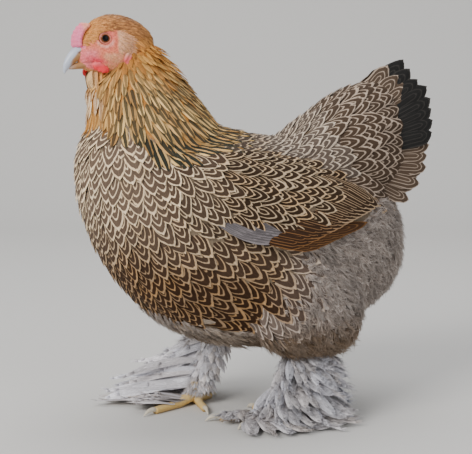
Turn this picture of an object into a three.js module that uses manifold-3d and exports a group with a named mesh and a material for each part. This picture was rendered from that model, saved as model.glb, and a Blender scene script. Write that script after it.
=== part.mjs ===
// A life-size partridge brahma hen, standing, as a still museum model.
//
// Millimetres, +Z up, the floor at z = 0. The hen faces -X, so its left side is towards -Y.
// Each part of the body is one closed solid, and neighbours meet face to face with a small gap.
// Flight, tail, hackle and foot feathers are overlapping vanes, grown from the part that bears them.

import * as THREE from "three";
import { mergeVertices } from "three/addons/utils/BufferGeometryUtils.js";
import Module from "manifold-3d";

const wasm = await Module();
wasm.setup();

// Driving dimensions
const GAP = 0.35; // between neighbouring solids
const LEFT = -1;
const RIGHT = 1;
const VANE_THICK = 0.9;

const HEAD_PIVOT = new THREE.Vector3(-120, 0, 0); // the vertical axis that the head turns about
const HEAD_YAW = THREE.MathUtils.degToRad(10); // towards the hen's left
const EYE_RADIUS = 5.6;
const EYE_LOCAL = new THREE.Vector3(37.5, 14.8, 427.5); // forward, outward, height

const HOCK_HEIGHT = 84;
const BALL_HEIGHT = 11;
const SHANK_RADIUS = 7.5;
const LEGS = {
  left: {
    side: LEFT,
    turn: -8,
    hock: new THREE.Vector3(60, -50, HOCK_HEIGHT),
    ball: new THREE.Vector3(33, -47, BALL_HEIGHT),
  },
  right: {
    side: RIGHT,
    turn: -27,
    hock: new THREE.Vector3(-8, 51, HOCK_HEIGHT),
    ball: new THREE.Vector3(-37, 41, BALL_HEIGHT),
  },
};

// Each toe: its turn from the foot's own (outward is positive), length to the claw, radius at the ball and at the claw,
// the claw's length and the number of plates
const TOES = {
  middle: { turn: 0, length: 65, base: 6, end: 4.2, claw: 17, plates: 4 },
  inner: { turn: -62, length: 39, base: 5.4, end: 3.9, claw: 14, plates: 3 },
  outer: { turn: 36, length: 50, base: 5.4, end: 3.8, claw: 13, plates: 3 },
  hind: { turn: 172, length: 27, base: 4.6, end: 3.6, claw: 13, plates: 2 },
};

// The torso under the wings: x, top, bottom, half-width
const TORSO = [
  [-180, 292, 268, 16],
  [-176, 318, 240, 44],
  [-160, 340, 194, 70],
  [-130, 350, 147, 87],
  [-85, 350, 107, 98],
  [-30, 337, 86, 103],
  [30, 322, 80, 103],
  [85, 318, 90, 98],
  [135, 306, 106, 86],
  [170, 272, 126, 64],
  [188, 238, 150, 42],
  [194, 210, 168, 16],
];
const TORSO_POWER = 2.15;

// Neck: centre height, centre x, half-depth, half-width and the ring's tilt in degrees, front end down
const NECK = [
  [318, -92, 80, 74, 0],
  [344, -103, 70, 62, 4],
  [367, -113, 60, 50, 10],
  [388, -125, 52, 39, 20],
  [404, -127, 40, 29.5, 32],
  [414, -128, 31, 22.5, 42],
];

// Head, in its own frame: forward, top, bottom, half-width
const HEAD = [
  [-20, 430, 402, 10],
  [-15, 438, 396, 18],
  [-2, 448, 389, 22.5],
  [13, 453.5, 386, 23.5],
  [28, 454, 387, 21.5],
  [42, 449.5, 390, 17.5],
  [52, 442, 393, 13.5],
  [59, 434, 397, 9.5],
  [63, 427, 402, 5],
];

// Tail with its coverts: distance along the axis, half-height, half-width
const TAIL_ROOT = new THREE.Vector3(62, 0, 268);
const TAIL_AXIS = new THREE.Vector3(0.93, 0, 0.37).normalize();
const TAIL = [
  [0, 52, 66],
  [50, 64, 73],
  [95, 73, 64],
  [130, 72, 44],
  [152, 60, 27],
  [166, 42, 13],
];

// Thighs in their fluff: height, centre x, half-depth, distance from the midline, half-width
const THIGH = [
  [206, 40, 52, 54, 42],
  [168, 46, 70, 60, 49],
  [132, 53, 70, 62, 47],
  [106, 57, 63, 62, 41],
  [89, 60, 45, 60, 30],
  [80, 61, 20, 58, 13],
];
const THIGH_SHIFT = { left: 6, right: -48 };

// Wings: x, lower edge, upper edge, thickness over the torso
const WING = [
  [-98, 262, 284, 1.5],
  [-92, 246, 298, 7],
  [-74, 236, 309, 11],
  [-40, 226, 312, 13],
  [10, 214, 306, 13],
  [60, 211, 290, 11.5],
  [100, 219, 268, 9],
  [124, 231, 252, 5.5],
  [134, 238, 246, 2.5],
];

// A closed solid from points and triangles, turned to face out.
function solid(points, triangles) {
  const vertProperties = new Float32Array(points.flatMap((p) => [p.x, p.y, p.z]));
  const made = new wasm.Manifold(
    new wasm.Mesh({ numProp: 3, vertProperties, triVerts: new Uint32Array(triangles.flat()) }),
  );
  if (made.volume() >= 0) return made;
  return solid(points, triangles.map(([a, b, c]) => [a, c, b]));
}

// A three.js geometry as a solid.
function solidOf(geometry) {
  const bare = geometry.clone().deleteAttribute("normal").deleteAttribute("uv");
  const merged = mergeVertices(bare, 1e-4);
  return new wasm.Manifold(
    new wasm.Mesh({
      numProp: 3,
      vertProperties: merged.attributes.position.array,
      triVerts: new Uint32Array(merged.index.array),
    }),
  );
}

// A closed surface through rings of equal count, its ends closed by a fan about their middles.
function loft(rings) {
  const count = rings[0].length;
  const points = rings.flat();
  const triangles = [];
  for (let r = 0; r + 1 < rings.length; r++) {
    for (let k = 0; k < count; k++) {
      const a = r * count + k;
      const b = r * count + ((k + 1) % count);
      triangles.push([a, b, b + count], [a, b + count, a + count]);
    }
  }
  for (const [ring, first] of [[rings[0], 0], [rings.at(-1), (rings.length - 1) * count]]) {
    const middle = ring.reduce((sum, p) => sum.add(p), new THREE.Vector3()).divideScalar(count);
    points.push(middle);
    for (let k = 0; k < count; k++) {
      const edge = [first + k, first + ((k + 1) % count)];
      triangles.push(first === 0 ? [edge[1], edge[0], points.length - 1] : [...edge, points.length - 1]);
    }
  }
  return solid(points, triangles);
}

// One superellipse ring about a centre. up and down are its reach along the upward axis.
function ring(centre, side, upward, halfWidth, up, down, power, count) {
  return Array.from({ length: count }, (_, k) => {
    const angle = (2 * Math.PI * k) / count;
    const c = Math.cos(angle);
    const s = Math.sin(angle);
    const across = halfWidth * Math.sign(c) * Math.abs(c) ** (2 / power);
    const height = (s > 0 ? up : down) * Math.sign(s) * Math.abs(s) ** (2 / power);
    return centre.clone().addScaledVector(side, across).addScaledVector(upward, height);
  });
}

// A row of a station table at a fraction of its length, on a smooth curve through the rows.
function station(table, share) {
  const last = table.length - 1;
  const at = THREE.MathUtils.clamp(share, 0, 1) * last;
  const i = Math.min(Math.floor(at), last - 1);
  const row = (k) => table[THREE.MathUtils.clamp(k, 0, last)];
  const t = at - i;
  return row(i).map((_, c) => {
    const [p0, p1, p2, p3] = [row(i - 1)[c], row(i)[c], row(i + 1)[c], row(i + 2)[c]];
    const bend = 2 * p0 - 5 * p1 + 4 * p2 - p3;
    return p1 + 0.5 * t * (p2 - p0 + t * (bend + t * (3 * (p1 - p2) + p3 - p0)));
  });
}

function stations(table, count) {
  return Array.from({ length: count }, (_, k) => station(table, k / (count - 1)));
}

// The row at a given first value, by halving. The first column rises along the table.
function stationAt(table, value) {
  let low = 0;
  let high = 1;
  for (let k = 0; k < 24; k++) {
    const middle = (low + high) / 2;
    if (station(table, middle)[0] < value) low = middle;
    else high = middle;
  }
  return station(table, low);
}

function union(parts) {
  return parts.reduce((whole, part) => whole.add(part));
}

// The largest closed surface of a solid, without sealed hollows or loose scraps.
function largest(made) {
  const bodies = made.decompose();
  return bodies.reduce((best, body) => (body.volume() > best.volume() ? body : best));
}

// The part of a solid that lies clear of its neighbours.
function clearOf(made, ...neighbours) {
  return largest(neighbours.reduce((rest, other) => rest.subtract(other), made));
}

const X = new THREE.Vector3(1, 0, 0);
const Y = new THREE.Vector3(0, 1, 0);
const Z = new THREE.Vector3(0, 0, 1);

function torso(grow = 0) {
  const rows = stations(TORSO, 16);
  return loft(
    rows.map(([x, top, bottom, half], k) => {
      const stretch = k === 0 ? -grow : k === rows.length - 1 ? grow : 0;
      const centre = new THREE.Vector3(x + stretch, 0, (top + bottom) / 2);
      const height = (top - bottom) / 2 + grow;
      return ring(centre, Y, Z, half + grow, height, height, TORSO_POWER, 22);
    }),
  );
}

// How far the torso's side lies from the midline at a place along it and a height.
function torsoSide(x, z) {
  const [, top, bottom, half] = stationAt(TORSO, x);
  const height = Math.min(Math.abs(z - (top + bottom) / 2) / ((top - bottom) / 2), 0.97);
  return half * (1 - height ** TORSO_POWER) ** (1 / TORSO_POWER);
}

// The way back along a neck ring that is tilted by some degrees.
function neckBack(tilt) {
  const angle = THREE.MathUtils.degToRad(tilt);
  return new THREE.Vector3(Math.cos(angle), 0, Math.sin(angle));
}

function neck(grow = 0) {
  return loft(
    stations(NECK, 7).map(([z, x, depth, half, tilt]) =>
      ring(new THREE.Vector3(x, 0, z), neckBack(tilt), Y, depth + grow, half + grow, half + grow, 2, 16),
    ),
  );
}

const toHead = new THREE.Matrix4()
  .makeBasis(
    new THREE.Vector3(-Math.cos(HEAD_YAW), -Math.sin(HEAD_YAW), 0),
    new THREE.Vector3(Math.sin(HEAD_YAW), -Math.cos(HEAD_YAW), 0),
    Z,
  )
  .setPosition(HEAD_PIVOT);

// Puts a solid made in the head's frame (forward, left, up) in its place.
function placed(made, matrix = toHead) {
  return made.transform(matrix.elements);
}

function ball(radius, centre, stretch = [1, 1, 1], detail = 12) {
  const geometry = new THREE.SphereGeometry(radius, detail, Math.round(detail * 0.6));
  geometry.scale(...stretch).translate(centre.x, centre.y, centre.z);
  return solidOf(geometry);
}

function headCore(grow = 0) {
  return loft(
    stations(HEAD, 11).map(([u, top, bottom, half]) => {
      const height = (top - bottom) / 2 + grow;
      return ring(new THREE.Vector3(u, 0, (top + bottom) / 2), Y, Z, half + grow, height, height, 2.1, 16);
    }),
  );
}

// A tube of changing section along a path: position, half-height, half-width at each place.
function horn(path, count = 10, power = 2) {
  return loft(
    path.map(([u, z, height, half], k) => {
      const before = path[Math.max(k - 1, 0)];
      const after = path[Math.min(k + 1, path.length - 1)];
      const along = new THREE.Vector3(after[0] - before[0], 0, after[1] - before[1]).normalize();
      const upward = new THREE.Vector3(-along.z, 0, along.x);
      return ring(new THREE.Vector3(u, 0, z), Y, upward, half, height, height, power, count);
    }),
  );
}

const UPPER_BEAK = [
  [50, 417, 9.5, 7.5],
  [57, 414.5, 9.2, 7.4],
  [64, 411, 7.6, 6.4],
  [70, 406, 6, 5],
  [74.6, 400, 4.4, 3.5],
  [77.2, 394.6, 2.6, 2],
  [77.8, 390.6, 0.8, 0.8],
];
const LOWER_BEAK = [
  [44, 400.5, 5, 7],
  [54, 400, 4.6, 6.4],
  [62, 399, 3.9, 5.2],
  [69, 397.2, 2.6, 3.5],
  [73, 396, 1.2, 1.6],
];
const NOSTRIL = new THREE.Vector3(62.5, 6.4, 412.5);

function upperBeak(grow = 0) {
  const rows = UPPER_BEAK.map(([u, z, height, half]) => [u, z, height + grow, half + grow]);
  const pits = [LEFT, RIGHT].map((side) =>
    ball(1, NOSTRIL.clone().setY(side * NOSTRIL.y), [2.6, 1.6, 1], 6),
  );
  return grow > 0 ? horn(rows) : horn(rows).subtract(union(pits));
}

function lowerBeak(grow = 0) {
  return horn(LOWER_BEAK.map(([u, z, height, half]) => [u, z, height + grow, half + grow]));
}

// A thin ring of skin about the eye, thicker above than below, tilted as the eye is.
function lids(side) {
  const lid = new THREE.TorusGeometry(EYE_RADIUS - 0.1, 1.5, 4, 11).rotateX(Math.PI / 2);
  lid.scale(1.06, 1, 0.92);
  lid.translate(EYE_LOCAL.x, side * (EYE_LOCAL.y + 2.4), EYE_LOCAL.z);
  return solidOf(lid);
}

function eye(side, grow = 0) {
  return ball(EYE_RADIUS + grow, EYE_LOCAL.clone().setY(side * EYE_LOCAL.y), [1, 1, 1], 12);
}

// A pea comb: three low rows of knobs, the middle row highest.
const COMB_PATH = new THREE.CatmullRomCurve3([
  new THREE.Vector3(66, 0, 420),
  new THREE.Vector3(66, 0, 427.5),
  new THREE.Vector3(62.5, 0, 435.5),
  new THREE.Vector3(56, 0, 442),
]);
const COMB_ROWS = [
  { across: 0, radius: 4.4, knobs: 4 },
  { across: 4.6, radius: 3.4, knobs: 3 },
  { across: -4.6, radius: 3.4, knobs: 3 },
];

function comb() {
  const knobs = COMB_ROWS.flatMap((row) =>
    Array.from({ length: row.knobs }, (_, k) => {
      const place = COMB_PATH.getPoint((k + 0.5) / row.knobs).setY(row.across);
      return ball(row.radius, place, [1, 0.95, 1.1], 7);
    }),
  );
  return union(knobs);
}

// A wattle: a small thick flap that hangs from the jaw.
function wattle(side) {
  const flap = ball(8.6, new THREE.Vector3(0, 0, 0), [1.25, 0.34, 0.92], 11);
  const place = new THREE.Matrix4()
    .makeRotationFromEuler(new THREE.Euler(side * 0.18, -0.42, side * -0.12))
    .setPosition(41, side * 13.6, 397);
  return flap.transform(place.elements);
}

function earlobe(side) {
  return ball(5.4, new THREE.Vector3(14, side * 22.6, 405.5), [0.85, 0.4, 1.25], 12);
}

// A feather: a flat leaf whose middle line, width and face come from a function of the share of its length.
// Its two faces are split into triangles alike. A wide feather has a raised middle line.
function vane(place, width, steps, { thick = VANE_THICK, camber = 0, point = 0.35, root = 0.55 } = {}) {
  const across = camber > 0 ? [-1, 0, 1] : [-1, 1];
  const points = [];
  const triangles = [];
  for (let k = 0; k <= steps; k++) {
    const share = k / steps;
    const { at, side, out } = place(share);
    const swell = THREE.MathUtils.lerp(root, 1, Math.min(share / 0.45, 1));
    const taper = share > 0.72 ? THREE.MathUtils.lerp(1, point, ((share - 0.72) / 0.28) ** 1.6) : 1;
    const half = (width / 2) * swell * taper;
    const depth = (thick / 2) * (share === 1 ? 0.6 : 1);
    for (const face of [1, -1]) {
      for (const s of across) {
        const lift = face * depth + camber * (1 - s * s);
        points.push(at.clone().addScaledVector(side, s * half).addScaledVector(out, lift));
      }
    }
  }
  const columns = across.length;
  const id = (k, face, c) => (k * 2 + face) * columns + c;
  for (let k = 0; k < steps; k++) {
    for (let c = 0; c + 1 < columns; c++) {
      for (const face of [0, 1]) {
        const [a, b, d, e] = [id(k, face, c), id(k, face, c + 1), id(k + 1, face, c), id(k + 1, face, c + 1)];
        triangles.push(...(face === 0 ? [[a, b, e], [a, e, d]] : [[a, e, b], [a, d, e]]));
      }
    }
    for (const c of [0, columns - 1]) {
      const [a, b, d, e] = [id(k, 0, c), id(k, 1, c), id(k + 1, 0, c), id(k + 1, 1, c)];
      triangles.push(...(c === 0 ? [[a, e, b], [a, d, e]] : [[a, b, e], [a, e, d]]));
    }
  }
  for (const k of [0, steps]) {
    for (let c = 0; c + 1 < columns; c++) {
      const [a, b, d, e] = [id(k, 0, c), id(k, 0, c + 1), id(k, 1, c), id(k, 1, c + 1)];
      triangles.push(...(k === 0 ? [[a, e, b], [a, d, e]] : [[a, b, e], [a, e, d]]));
    }
  }
  return solid(points, triangles);
}

// Feathers that follow a curve in space, each face turned by a roll about it so that neighbours overlap like tiles.
function curvedVane(points, outward, width, steps, { roll = 0, ...shape } = {}) {
  const curve = points.length > 2 ? new THREE.CatmullRomCurve3(points) : new THREE.LineCurve3(...points);
  return vane(
    (share) => {
      const along = curve.getTangent(share);
      const face = (typeof outward === "function" ? outward(share) : outward).clone();
      face.addScaledVector(along, -face.dot(along)).normalize().applyAxisAngle(along, roll);
      return { at: curve.getPoint(share), side: new THREE.Vector3().crossVectors(along, face), out: face };
    },
    width,
    steps,
    shape,
  );
}

// A place on the wing's outer face, and the way out of it.
function wingPlace(side, x, z, lift) {
  const at = new THREE.Vector3(x, side * (torsoSide(x, z) + lift), z);
  const step = 2;
  const slopeX = (torsoSide(x + step, z) - torsoSide(x - step, z)) / (2 * step);
  const slopeZ = (torsoSide(x, z + step) - torsoSide(x, z - step)) / (2 * step);
  return { at, out: new THREE.Vector3(-slopeX, side, -slopeZ).normalize() };
}

function wingVane(side, from, to, sag, lifts, width, steps, shape) {
  const middle = [(from[0] + to[0]) / 2, (from[1] + to[1]) / 2 - sag];
  const flat = [from, middle, to].map(([x, z], k) => wingPlace(side, x, z, lifts[k]));
  const outward = flat[1].out;
  return curvedVane(flat.map((f) => f.at), outward, width, steps, shape);
}

const SECONDARIES = 8;
const PRIMARIES = 3;
const WING_COVERTS = [
  { count: 6, from: [[-62, 238], [22, 294]], to: [[-6, 222], [88, 270]], lift: 15.5, width: 22 },
  { count: 5, from: [[-78, 248], [-16, 302]], to: [[-36, 234], [42, 286]], lift: 16.5, width: 22 },
];

function lerpPair(a, b, t) {
  return [THREE.MathUtils.lerp(a[0], b[0], t), THREE.MathUtils.lerp(a[1], b[1], t)];
}

// A folded wing: a lens over the torso's side, with its flight feathers and two tiers of coverts.
function wing(side) {
  const arc = 7;
  const core = loft(
    stations(WING, 9).map(([x, low, high, thick]) => {
      const heights = Array.from({ length: arc }, (_, k) => -1 + (2 * k) / (arc - 1));
      const outer = heights.map((q) => {
        const z = (low + high) / 2 + (q * (high - low)) / 2;
        return new THREE.Vector3(x, side * (torsoSide(x, z) + thick * Math.sqrt(1 - q * q) + 0.6), z);
      });
      const inner = heights.slice(1, -1).reverse().map((q) => {
        const z = (low + high) / 2 + (q * (high - low)) / 2;
        return new THREE.Vector3(x, side * (torsoSide(x, z) - 4), z);
      });
      return [...outer, ...inner];
    }),
  );
  const feathers = [];
  const roll = side * 0.15;
  for (let k = 0; k < PRIMARIES; k++) {
    const t = k / (PRIMARIES - 1);
    const from = lerpPair([-34, 232], [-10, 236], t);
    const to = lerpPair([62, 207], [122, 229], t);
    feathers.push(wingVane(side, from, to, 7, [6, 6.5, 5], 14, 4, { roll, point: 0.3 }));
  }
  for (let k = 0; k < SECONDARIES; k++) {
    const t = k / (SECONDARIES - 1);
    const from = lerpPair([-38, 234], [44, 284], t);
    const to = lerpPair([46, 211], [138, 243], t ** 0.8);
    const middle = THREE.MathUtils.lerp(12.5, 14, t);
    feathers.push(wingVane(side, from, to, 5 - 8 * t, [9, middle, 8.5], 18, 3, { roll, point: 0.4 }));
  }
  for (const tier of WING_COVERTS) {
    for (let k = 0; k < tier.count; k++) {
      const t = k / (tier.count - 1);
      const from = lerpPair(tier.from[0], tier.from[1], t);
      const to = lerpPair(tier.to[0], tier.to[1], t);
      const lifts = [tier.lift - 6, tier.lift - 0.5, tier.lift - 1.5];
      feathers.push(wingVane(side, from, to, 2, lifts, tier.width, 3, { roll: side * 0.12, point: 0.45 }));
    }
  }
  return core.add(union(feathers));
}

const TAIL_UP = new THREE.Vector3().crossVectors(TAIL_AXIS, Y).normalize();

function tailCore(grow = 0) {
  return loft(
    stations(TAIL, 9).map(([along, height, half]) => {
      const centre = TAIL_ROOT.clone().addScaledVector(TAIL_AXIS, along);
      return ring(centre, Y, TAIL_UP, half + grow, height + grow, height + grow, 2, 20);
    }),
  );
}

// The tail's fan opens about a pivot in the rump. Each tier: feathers a side, first and last elevation,
// spread from the midline at the tips, reach from the pivot and width
const FAN_PIVOT = new THREE.Vector3(98, 0, 296);
const FAN_TIERS = [
  { count: 7, high: 46, low: 6, spread: 38, reach: [154, 153, 136], inner: 84, width: 27, camber: 0.8 },
  { count: 5, high: 48, low: -2, spread: 44, reach: [138, 138, 126], inner: 74, width: 32, camber: 0 },
  { count: 4, high: 48, low: -13, spread: 48, reach: [112, 119, 114], inner: 56, width: 38, camber: 0 },
];

function fanVane(side, tier, t) {
  const angle = THREE.MathUtils.degToRad(THREE.MathUtils.lerp(tier.high, tier.low, t));
  const direction = new THREE.Vector3(Math.cos(angle), 0, Math.sin(angle));
  const reach = t < 0.5
    ? THREE.MathUtils.lerp(tier.reach[0], tier.reach[1], t * 2)
    : THREE.MathUtils.lerp(tier.reach[1], tier.reach[2], t * 2 - 1);
  const out = 5 + tier.spread * t ** 0.8;
  const at = (share, distance) =>
    FAN_PIVOT.clone()
      .addScaledVector(direction, distance)
      .setY(side * THREE.MathUtils.lerp(out * 0.75 + 3, out, share));
  const points = [at(0, tier.inner), at(0.5, (tier.inner + reach) / 2), at(1, reach)];
  points[1].y += side * 4;
  const outward = new THREE.Vector3(-Math.sin(angle) * 0.4, side, Math.cos(angle) * 0.4);
  return curvedVane(points, outward, tier.width, 3, { roll: side * 0.12, point: 0.5, camber: tier.camber });
}

function tail() {
  const feathers = [LEFT, RIGHT].flatMap((side) =>
    FAN_TIERS.flatMap((tier) =>
      Array.from({ length: tier.count }, (_, k) => fanVane(side, tier, k / (tier.count - 1))),
    ),
  );
  return tailCore().add(union(feathers));
}

function thigh(side, shift, grow = 0) {
  const rows = stations(THIGH, 7);
  return loft(
    rows.map(([z, x, depth, out, half], k) => {
      const centre = new THREE.Vector3(x + shift, side * out, z - (k === rows.length - 1 ? grow : 0));
      return ring(centre, X, Y, depth + grow, half + grow, half + grow, 2.1, 14);
    }),
  );
}

// A limb or toe: rings along a path, each with its radius.
function limb(path, count = 6) {
  return loft(
    path.map(([at, radius], k) => {
      const along = path[Math.min(k + 1, path.length - 1)][0].clone().sub(path[Math.max(k - 1, 0)][0]).normalize();
      const side = new THREE.Vector3().crossVectors(Math.abs(along.z) > 0.8 ? X : Z, along).normalize();
      const upward = new THREE.Vector3().crossVectors(along, side);
      return ring(at, side, upward, radius, radius, radius, 2, count);
    }),
  );
}

function shankCore(leg, grow = 0) {
  const knee = leg.hock.clone().add(new THREE.Vector3(6, 0, 26));
  const ankle = leg.ball.clone().add(new THREE.Vector3(2, 0, 4));
  return limb([
    [knee, 13 + grow],
    [leg.hock, 10.5 + grow],
    [leg.hock.clone().lerp(ankle, 0.35), SHANK_RADIUS + grow],
    [leg.hock.clone().lerp(ankle, 0.8), SHANK_RADIUS - 0.3 + grow],
    [ankle, SHANK_RADIUS + 0.6 + grow],
  ]);
}

// The way a toe points on the floor. Outward turns are positive on either side.
function heading(side, turn) {
  const angle = THREE.MathUtils.degToRad(turn);
  return new THREE.Vector3(-Math.cos(angle), side * Math.sin(angle), 0);
}

// A toe's path from the ball to its claw. Each plate of the toe widens towards the claw and overlaps the next.
function toePath(leg, toe, grow = 0) {
  const along = heading(leg.side, leg.turn + toe.turn);
  const place = (share) => {
    const radius = THREE.MathUtils.lerp(toe.base, toe.end, share);
    const height = THREE.MathUtils.lerp(BALL_HEIGHT, radius * 0.92, Math.min(share / 0.4, 1));
    return [leg.ball.clone().addScaledVector(along, toe.length * share).setZ(height), radius];
  };
  const path = [];
  for (let k = 0; k < toe.plates; k++) {
    const [near, nearRadius] = place(k / toe.plates);
    const [far, farRadius] = place((k + 0.93) / toe.plates);
    path.push([near, nearRadius * (k === 0 ? 1.1 : 0.94) + grow], [far, farRadius * 1.06 + grow]);
  }
  return path;
}

function footCore(leg, grow = 0) {
  const pad = ball(10.5 + grow, leg.ball.clone().setZ(7), [1, 1, 0.9], 10);
  return union([pad, ...Object.values(TOES).map((toe) => limb(toePath(leg, toe, grow)))]);
}

// A claw: a short horn that curves from the toe's end down to the floor.
function claw(leg, toe, grow = 0) {
  const along = heading(leg.side, leg.turn + toe.turn);
  const root = leg.ball.clone().addScaledVector(along, toe.length - 2.5).setZ(toe.end * 1.15);
  const bow = [
    [0, 0, toe.end * 0.72],
    [0.34, 1.3, toe.end * 0.62],
    [0.7, 0.2, toe.end * 0.44],
    [1, -toe.end * 0.95, 0.55],
  ];
  return limb(
    bow.map(([share, rise, radius]) => [
      root.clone().addScaledVector(along, (toe.claw + 2.5) * share).add(new THREE.Vector3(0, 0, rise)),
      radius + grow,
    ]),
    5,
  );
}

const FLOOR = solidOf(new THREE.BoxGeometry(900, 900, 100).translate(0, 0, -50));
const NEAR_FLOOR = solidOf(new THREE.BoxGeometry(900, 900, 100).translate(0, 0, -50 + GAP));

// A foot or shank feather leaves its root sideways and droops towards the floor.
// lie is how far its face leans from straight up to straight out.
function legFeather(side, root, turn, length, rise, tipHeight, width, lie, grow = 0) {
  const along = heading(side, turn);
  const tip = root.clone().addScaledVector(along, length).setZ(tipHeight);
  const middle = root.clone().lerp(tip, 0.5);
  middle.z += rise;
  const start = root.clone().addScaledVector(along, -5);
  const lean = THREE.MathUtils.degToRad(lie);
  const outward = new THREE.Vector3(0, side * Math.sin(lean), Math.cos(lean));
  return curvedVane([start, middle, tip], outward, width + 2 * grow, 3, {
    thick: VANE_THICK + 2 * grow,
    point: 0.45,
    roll: side * 0.1,
  });
}

// Rows of stiff feathers down the shank's outer side: the share of the way down, number, first and last heading,
// length and tip height
const SHANK_ROWS = {
  left: [
    { share: 0.1, count: 3, turns: [50, 166], length: [42, 62], tip: [58, 52], width: 27 },
    { share: 0.4, count: 3, turns: [30, 164], length: [50, 74], tip: [38, 32], width: 28 },
    { share: 0.68, count: 4, turns: [20, 158], length: [48, 80], tip: [20, 15], width: 28 },
  ],
  right: [
    { share: 0.1, count: 3, turns: [8, 126], length: [62, 46], tip: [56, 54], width: 27 },
    { share: 0.4, count: 3, turns: [10, 126], length: [94, 50], tip: [37, 34], width: 28 },
    { share: 0.68, count: 4, turns: [14, 124], length: [120, 54], tip: [22, 18], width: 28 },
  ],
};

function shank(leg, rows) {
  const feathers = rows.flatMap((row) =>
    Array.from({ length: row.count }, (_, k) => {
      const t = k / (row.count - 1);
      const root = leg.hock.clone().lerp(leg.ball, row.share);
      root.y += leg.side * 2;
      const turn = THREE.MathUtils.lerp(row.turns[0], row.turns[1], t);
      const length = THREE.MathUtils.lerp(row.length[0], row.length[1], t);
      const tip = THREE.MathUtils.lerp(row.tip[0], row.tip[1], t);
      return legFeather(leg.side, root.clone().setZ(root.z - k * 1.4), turn, length, 3, tip, row.width, 62);
    }),
  );
  return shankCore(leg).add(union(feathers));
}

// Feathers of the outer and middle toes, in a low fan over the floor
const FOOT_FANS = {
  left: [
    { toe: "outer", from: 0.1, to: 0.8, count: 5, turns: [152, 66], length: [106, 38], tip: 2.4, width: 28 },
    { toe: "middle", from: 0.25, to: 0.66, count: 3, turns: [62, 24], length: [42, 26], tip: 6, width: 20 },
  ],
  right: [
    { toe: "outer", from: 0.1, to: 0.8, count: 5, turns: [118, 16], length: [62, 84], tip: 2.4, width: 28 },
    { toe: "middle", from: 0.25, to: 0.66, count: 3, turns: [26, 4], length: [66, 40], tip: 8, width: 20 },
  ],
};

function footFeathers(leg, fans, grow = 0) {
  return union(
    fans.flatMap((fan) =>
      Array.from({ length: fan.count }, (_, k) => {
        const t = k / (fan.count - 1);
        const toe = TOES[fan.toe];
        const along = heading(leg.side, leg.turn + toe.turn);
        const root = leg.ball.clone().addScaledVector(along, toe.length * THREE.MathUtils.lerp(fan.from, fan.to, t));
        root.z = toe.base * 1.25 + 2 - 1.6 * t;
        const turn = THREE.MathUtils.lerp(fan.turns[0], fan.turns[1], t);
        const length = THREE.MathUtils.lerp(fan.length[0], fan.length[1], t);
        return legFeather(leg.side, root, turn, length, 2, fan.tip + 0.4 * k, fan.width, 18, grow);
      }),
    ),
  );
}

// Hackle: pointed feathers in tiers round the neck's foot. Each tier: height, feathers, length, width
const HACKLE_TIERS = [
  { z: 384, count: 11, length: 46, width: 18 },
  { z: 364, count: 13, length: 50, width: 20 },
];

function neckPlace(height, angle, lift) {
  const [z, x, depth, half, tilt] = stationAt(NECK, height);
  return new THREE.Vector3(x, 0, z)
    .addScaledVector(neckBack(tilt), Math.cos(angle) * (depth + lift))
    .addScaledVector(Y, Math.sin(angle) * (half + lift));
}

function hackle() {
  return union(
    HACKLE_TIERS.flatMap((tier, row) =>
      Array.from({ length: tier.count }, (_, k) => {
        const angle = (2 * Math.PI * (k + 0.5 * row)) / tier.count;
        const outward = new THREE.Vector3(Math.cos(angle), Math.sin(angle), 0.35);
        const points = [
          neckPlace(tier.z, angle, -4),
          neckPlace(tier.z - tier.length * 0.45, angle, 2.2),
          neckPlace(tier.z - tier.length, angle, 4),
        ];
        return curvedVane(points, outward, tier.width, 3, { roll: 0.12, point: 0.15 });
      }),
    ),
  );
}

// Builds every solid, each cut clear of those made before it.
function buildSolids() {
  const grown = torso(GAP);
  const solids = { torso: torso() };
  const thighs = { left: thigh(LEFT, THIGH_SHIFT.left, GAP), right: thigh(RIGHT, THIGH_SHIFT.right, GAP) };
  const grownTail = tailCore(GAP);
  const grownHead = placed(headCore(GAP));
  const grownUpper = placed(upperBeak(GAP));

  solids.head = placed(
    largest(
      headCore()
        .add(union([lids(LEFT), lids(RIGHT)]))
        .subtract(union([eye(LEFT, GAP), eye(RIGHT, GAP)]))
        .subtract(upperBeak(GAP))
        .subtract(lowerBeak(GAP)),
    ),
  );
  solids.beak_upper = placed(largest(upperBeak()));
  solids.beak_lower = clearOf(placed(lowerBeak()), grownUpper);
  solids.comb = clearOf(placed(comb()), grownHead, grownUpper);
  solids.neck = clearOf(neck().add(hackle()), grown, grownHead, placed(lowerBeak(GAP)));
  for (const [name, side] of [["left", 1], ["right", -1]]) {
    solids[`eye_${name}`] = placed(eye(side));
    solids[`wattle_${name}`] = clearOf(placed(wattle(side)), grownHead, placed(lowerBeak(GAP)), grownUpper, neck(GAP));
    solids[`earlobe_${name}`] = clearOf(placed(earlobe(side)), grownHead, neck(GAP));
  }
  solids.tail = clearOf(tail(), grown);
  for (const [name, side] of [["left", LEFT], ["right", RIGHT]]) {
    const leg = LEGS[name];
    solids[`thigh_${name}`] = clearOf(thigh(side, THIGH_SHIFT[name]), grown, shankCore(leg, GAP));
    solids[`wing_${name}`] = clearOf(wing(side), grown, thighs[name], grownTail);
    const fans = FOOT_FANS[name];
    const grownFoot = [footCore(leg, GAP), footFeathers(leg, fans, GAP)];
    solids[`shank_${name}`] = clearOf(shank(leg, SHANK_ROWS[name]), ...grownFoot, grown, thighs[name], NEAR_FLOOR);
    const grownClaws = Object.values(TOES).map((toe) => claw(leg, toe, GAP));
    const feathers = footFeathers(leg, fans).subtract(union(grownClaws));
    solids[`foot_${name}`] = clearOf(footCore(leg).add(feathers), FLOOR);
    for (const [toeName, toe] of Object.entries(TOES)) {
      solids[`claw_${name}_${toeName}`] = clearOf(claw(leg, toe), limb(toePath(leg, toe, GAP)), NEAR_FLOOR);
    }
  }
  return solids;
}

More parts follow.
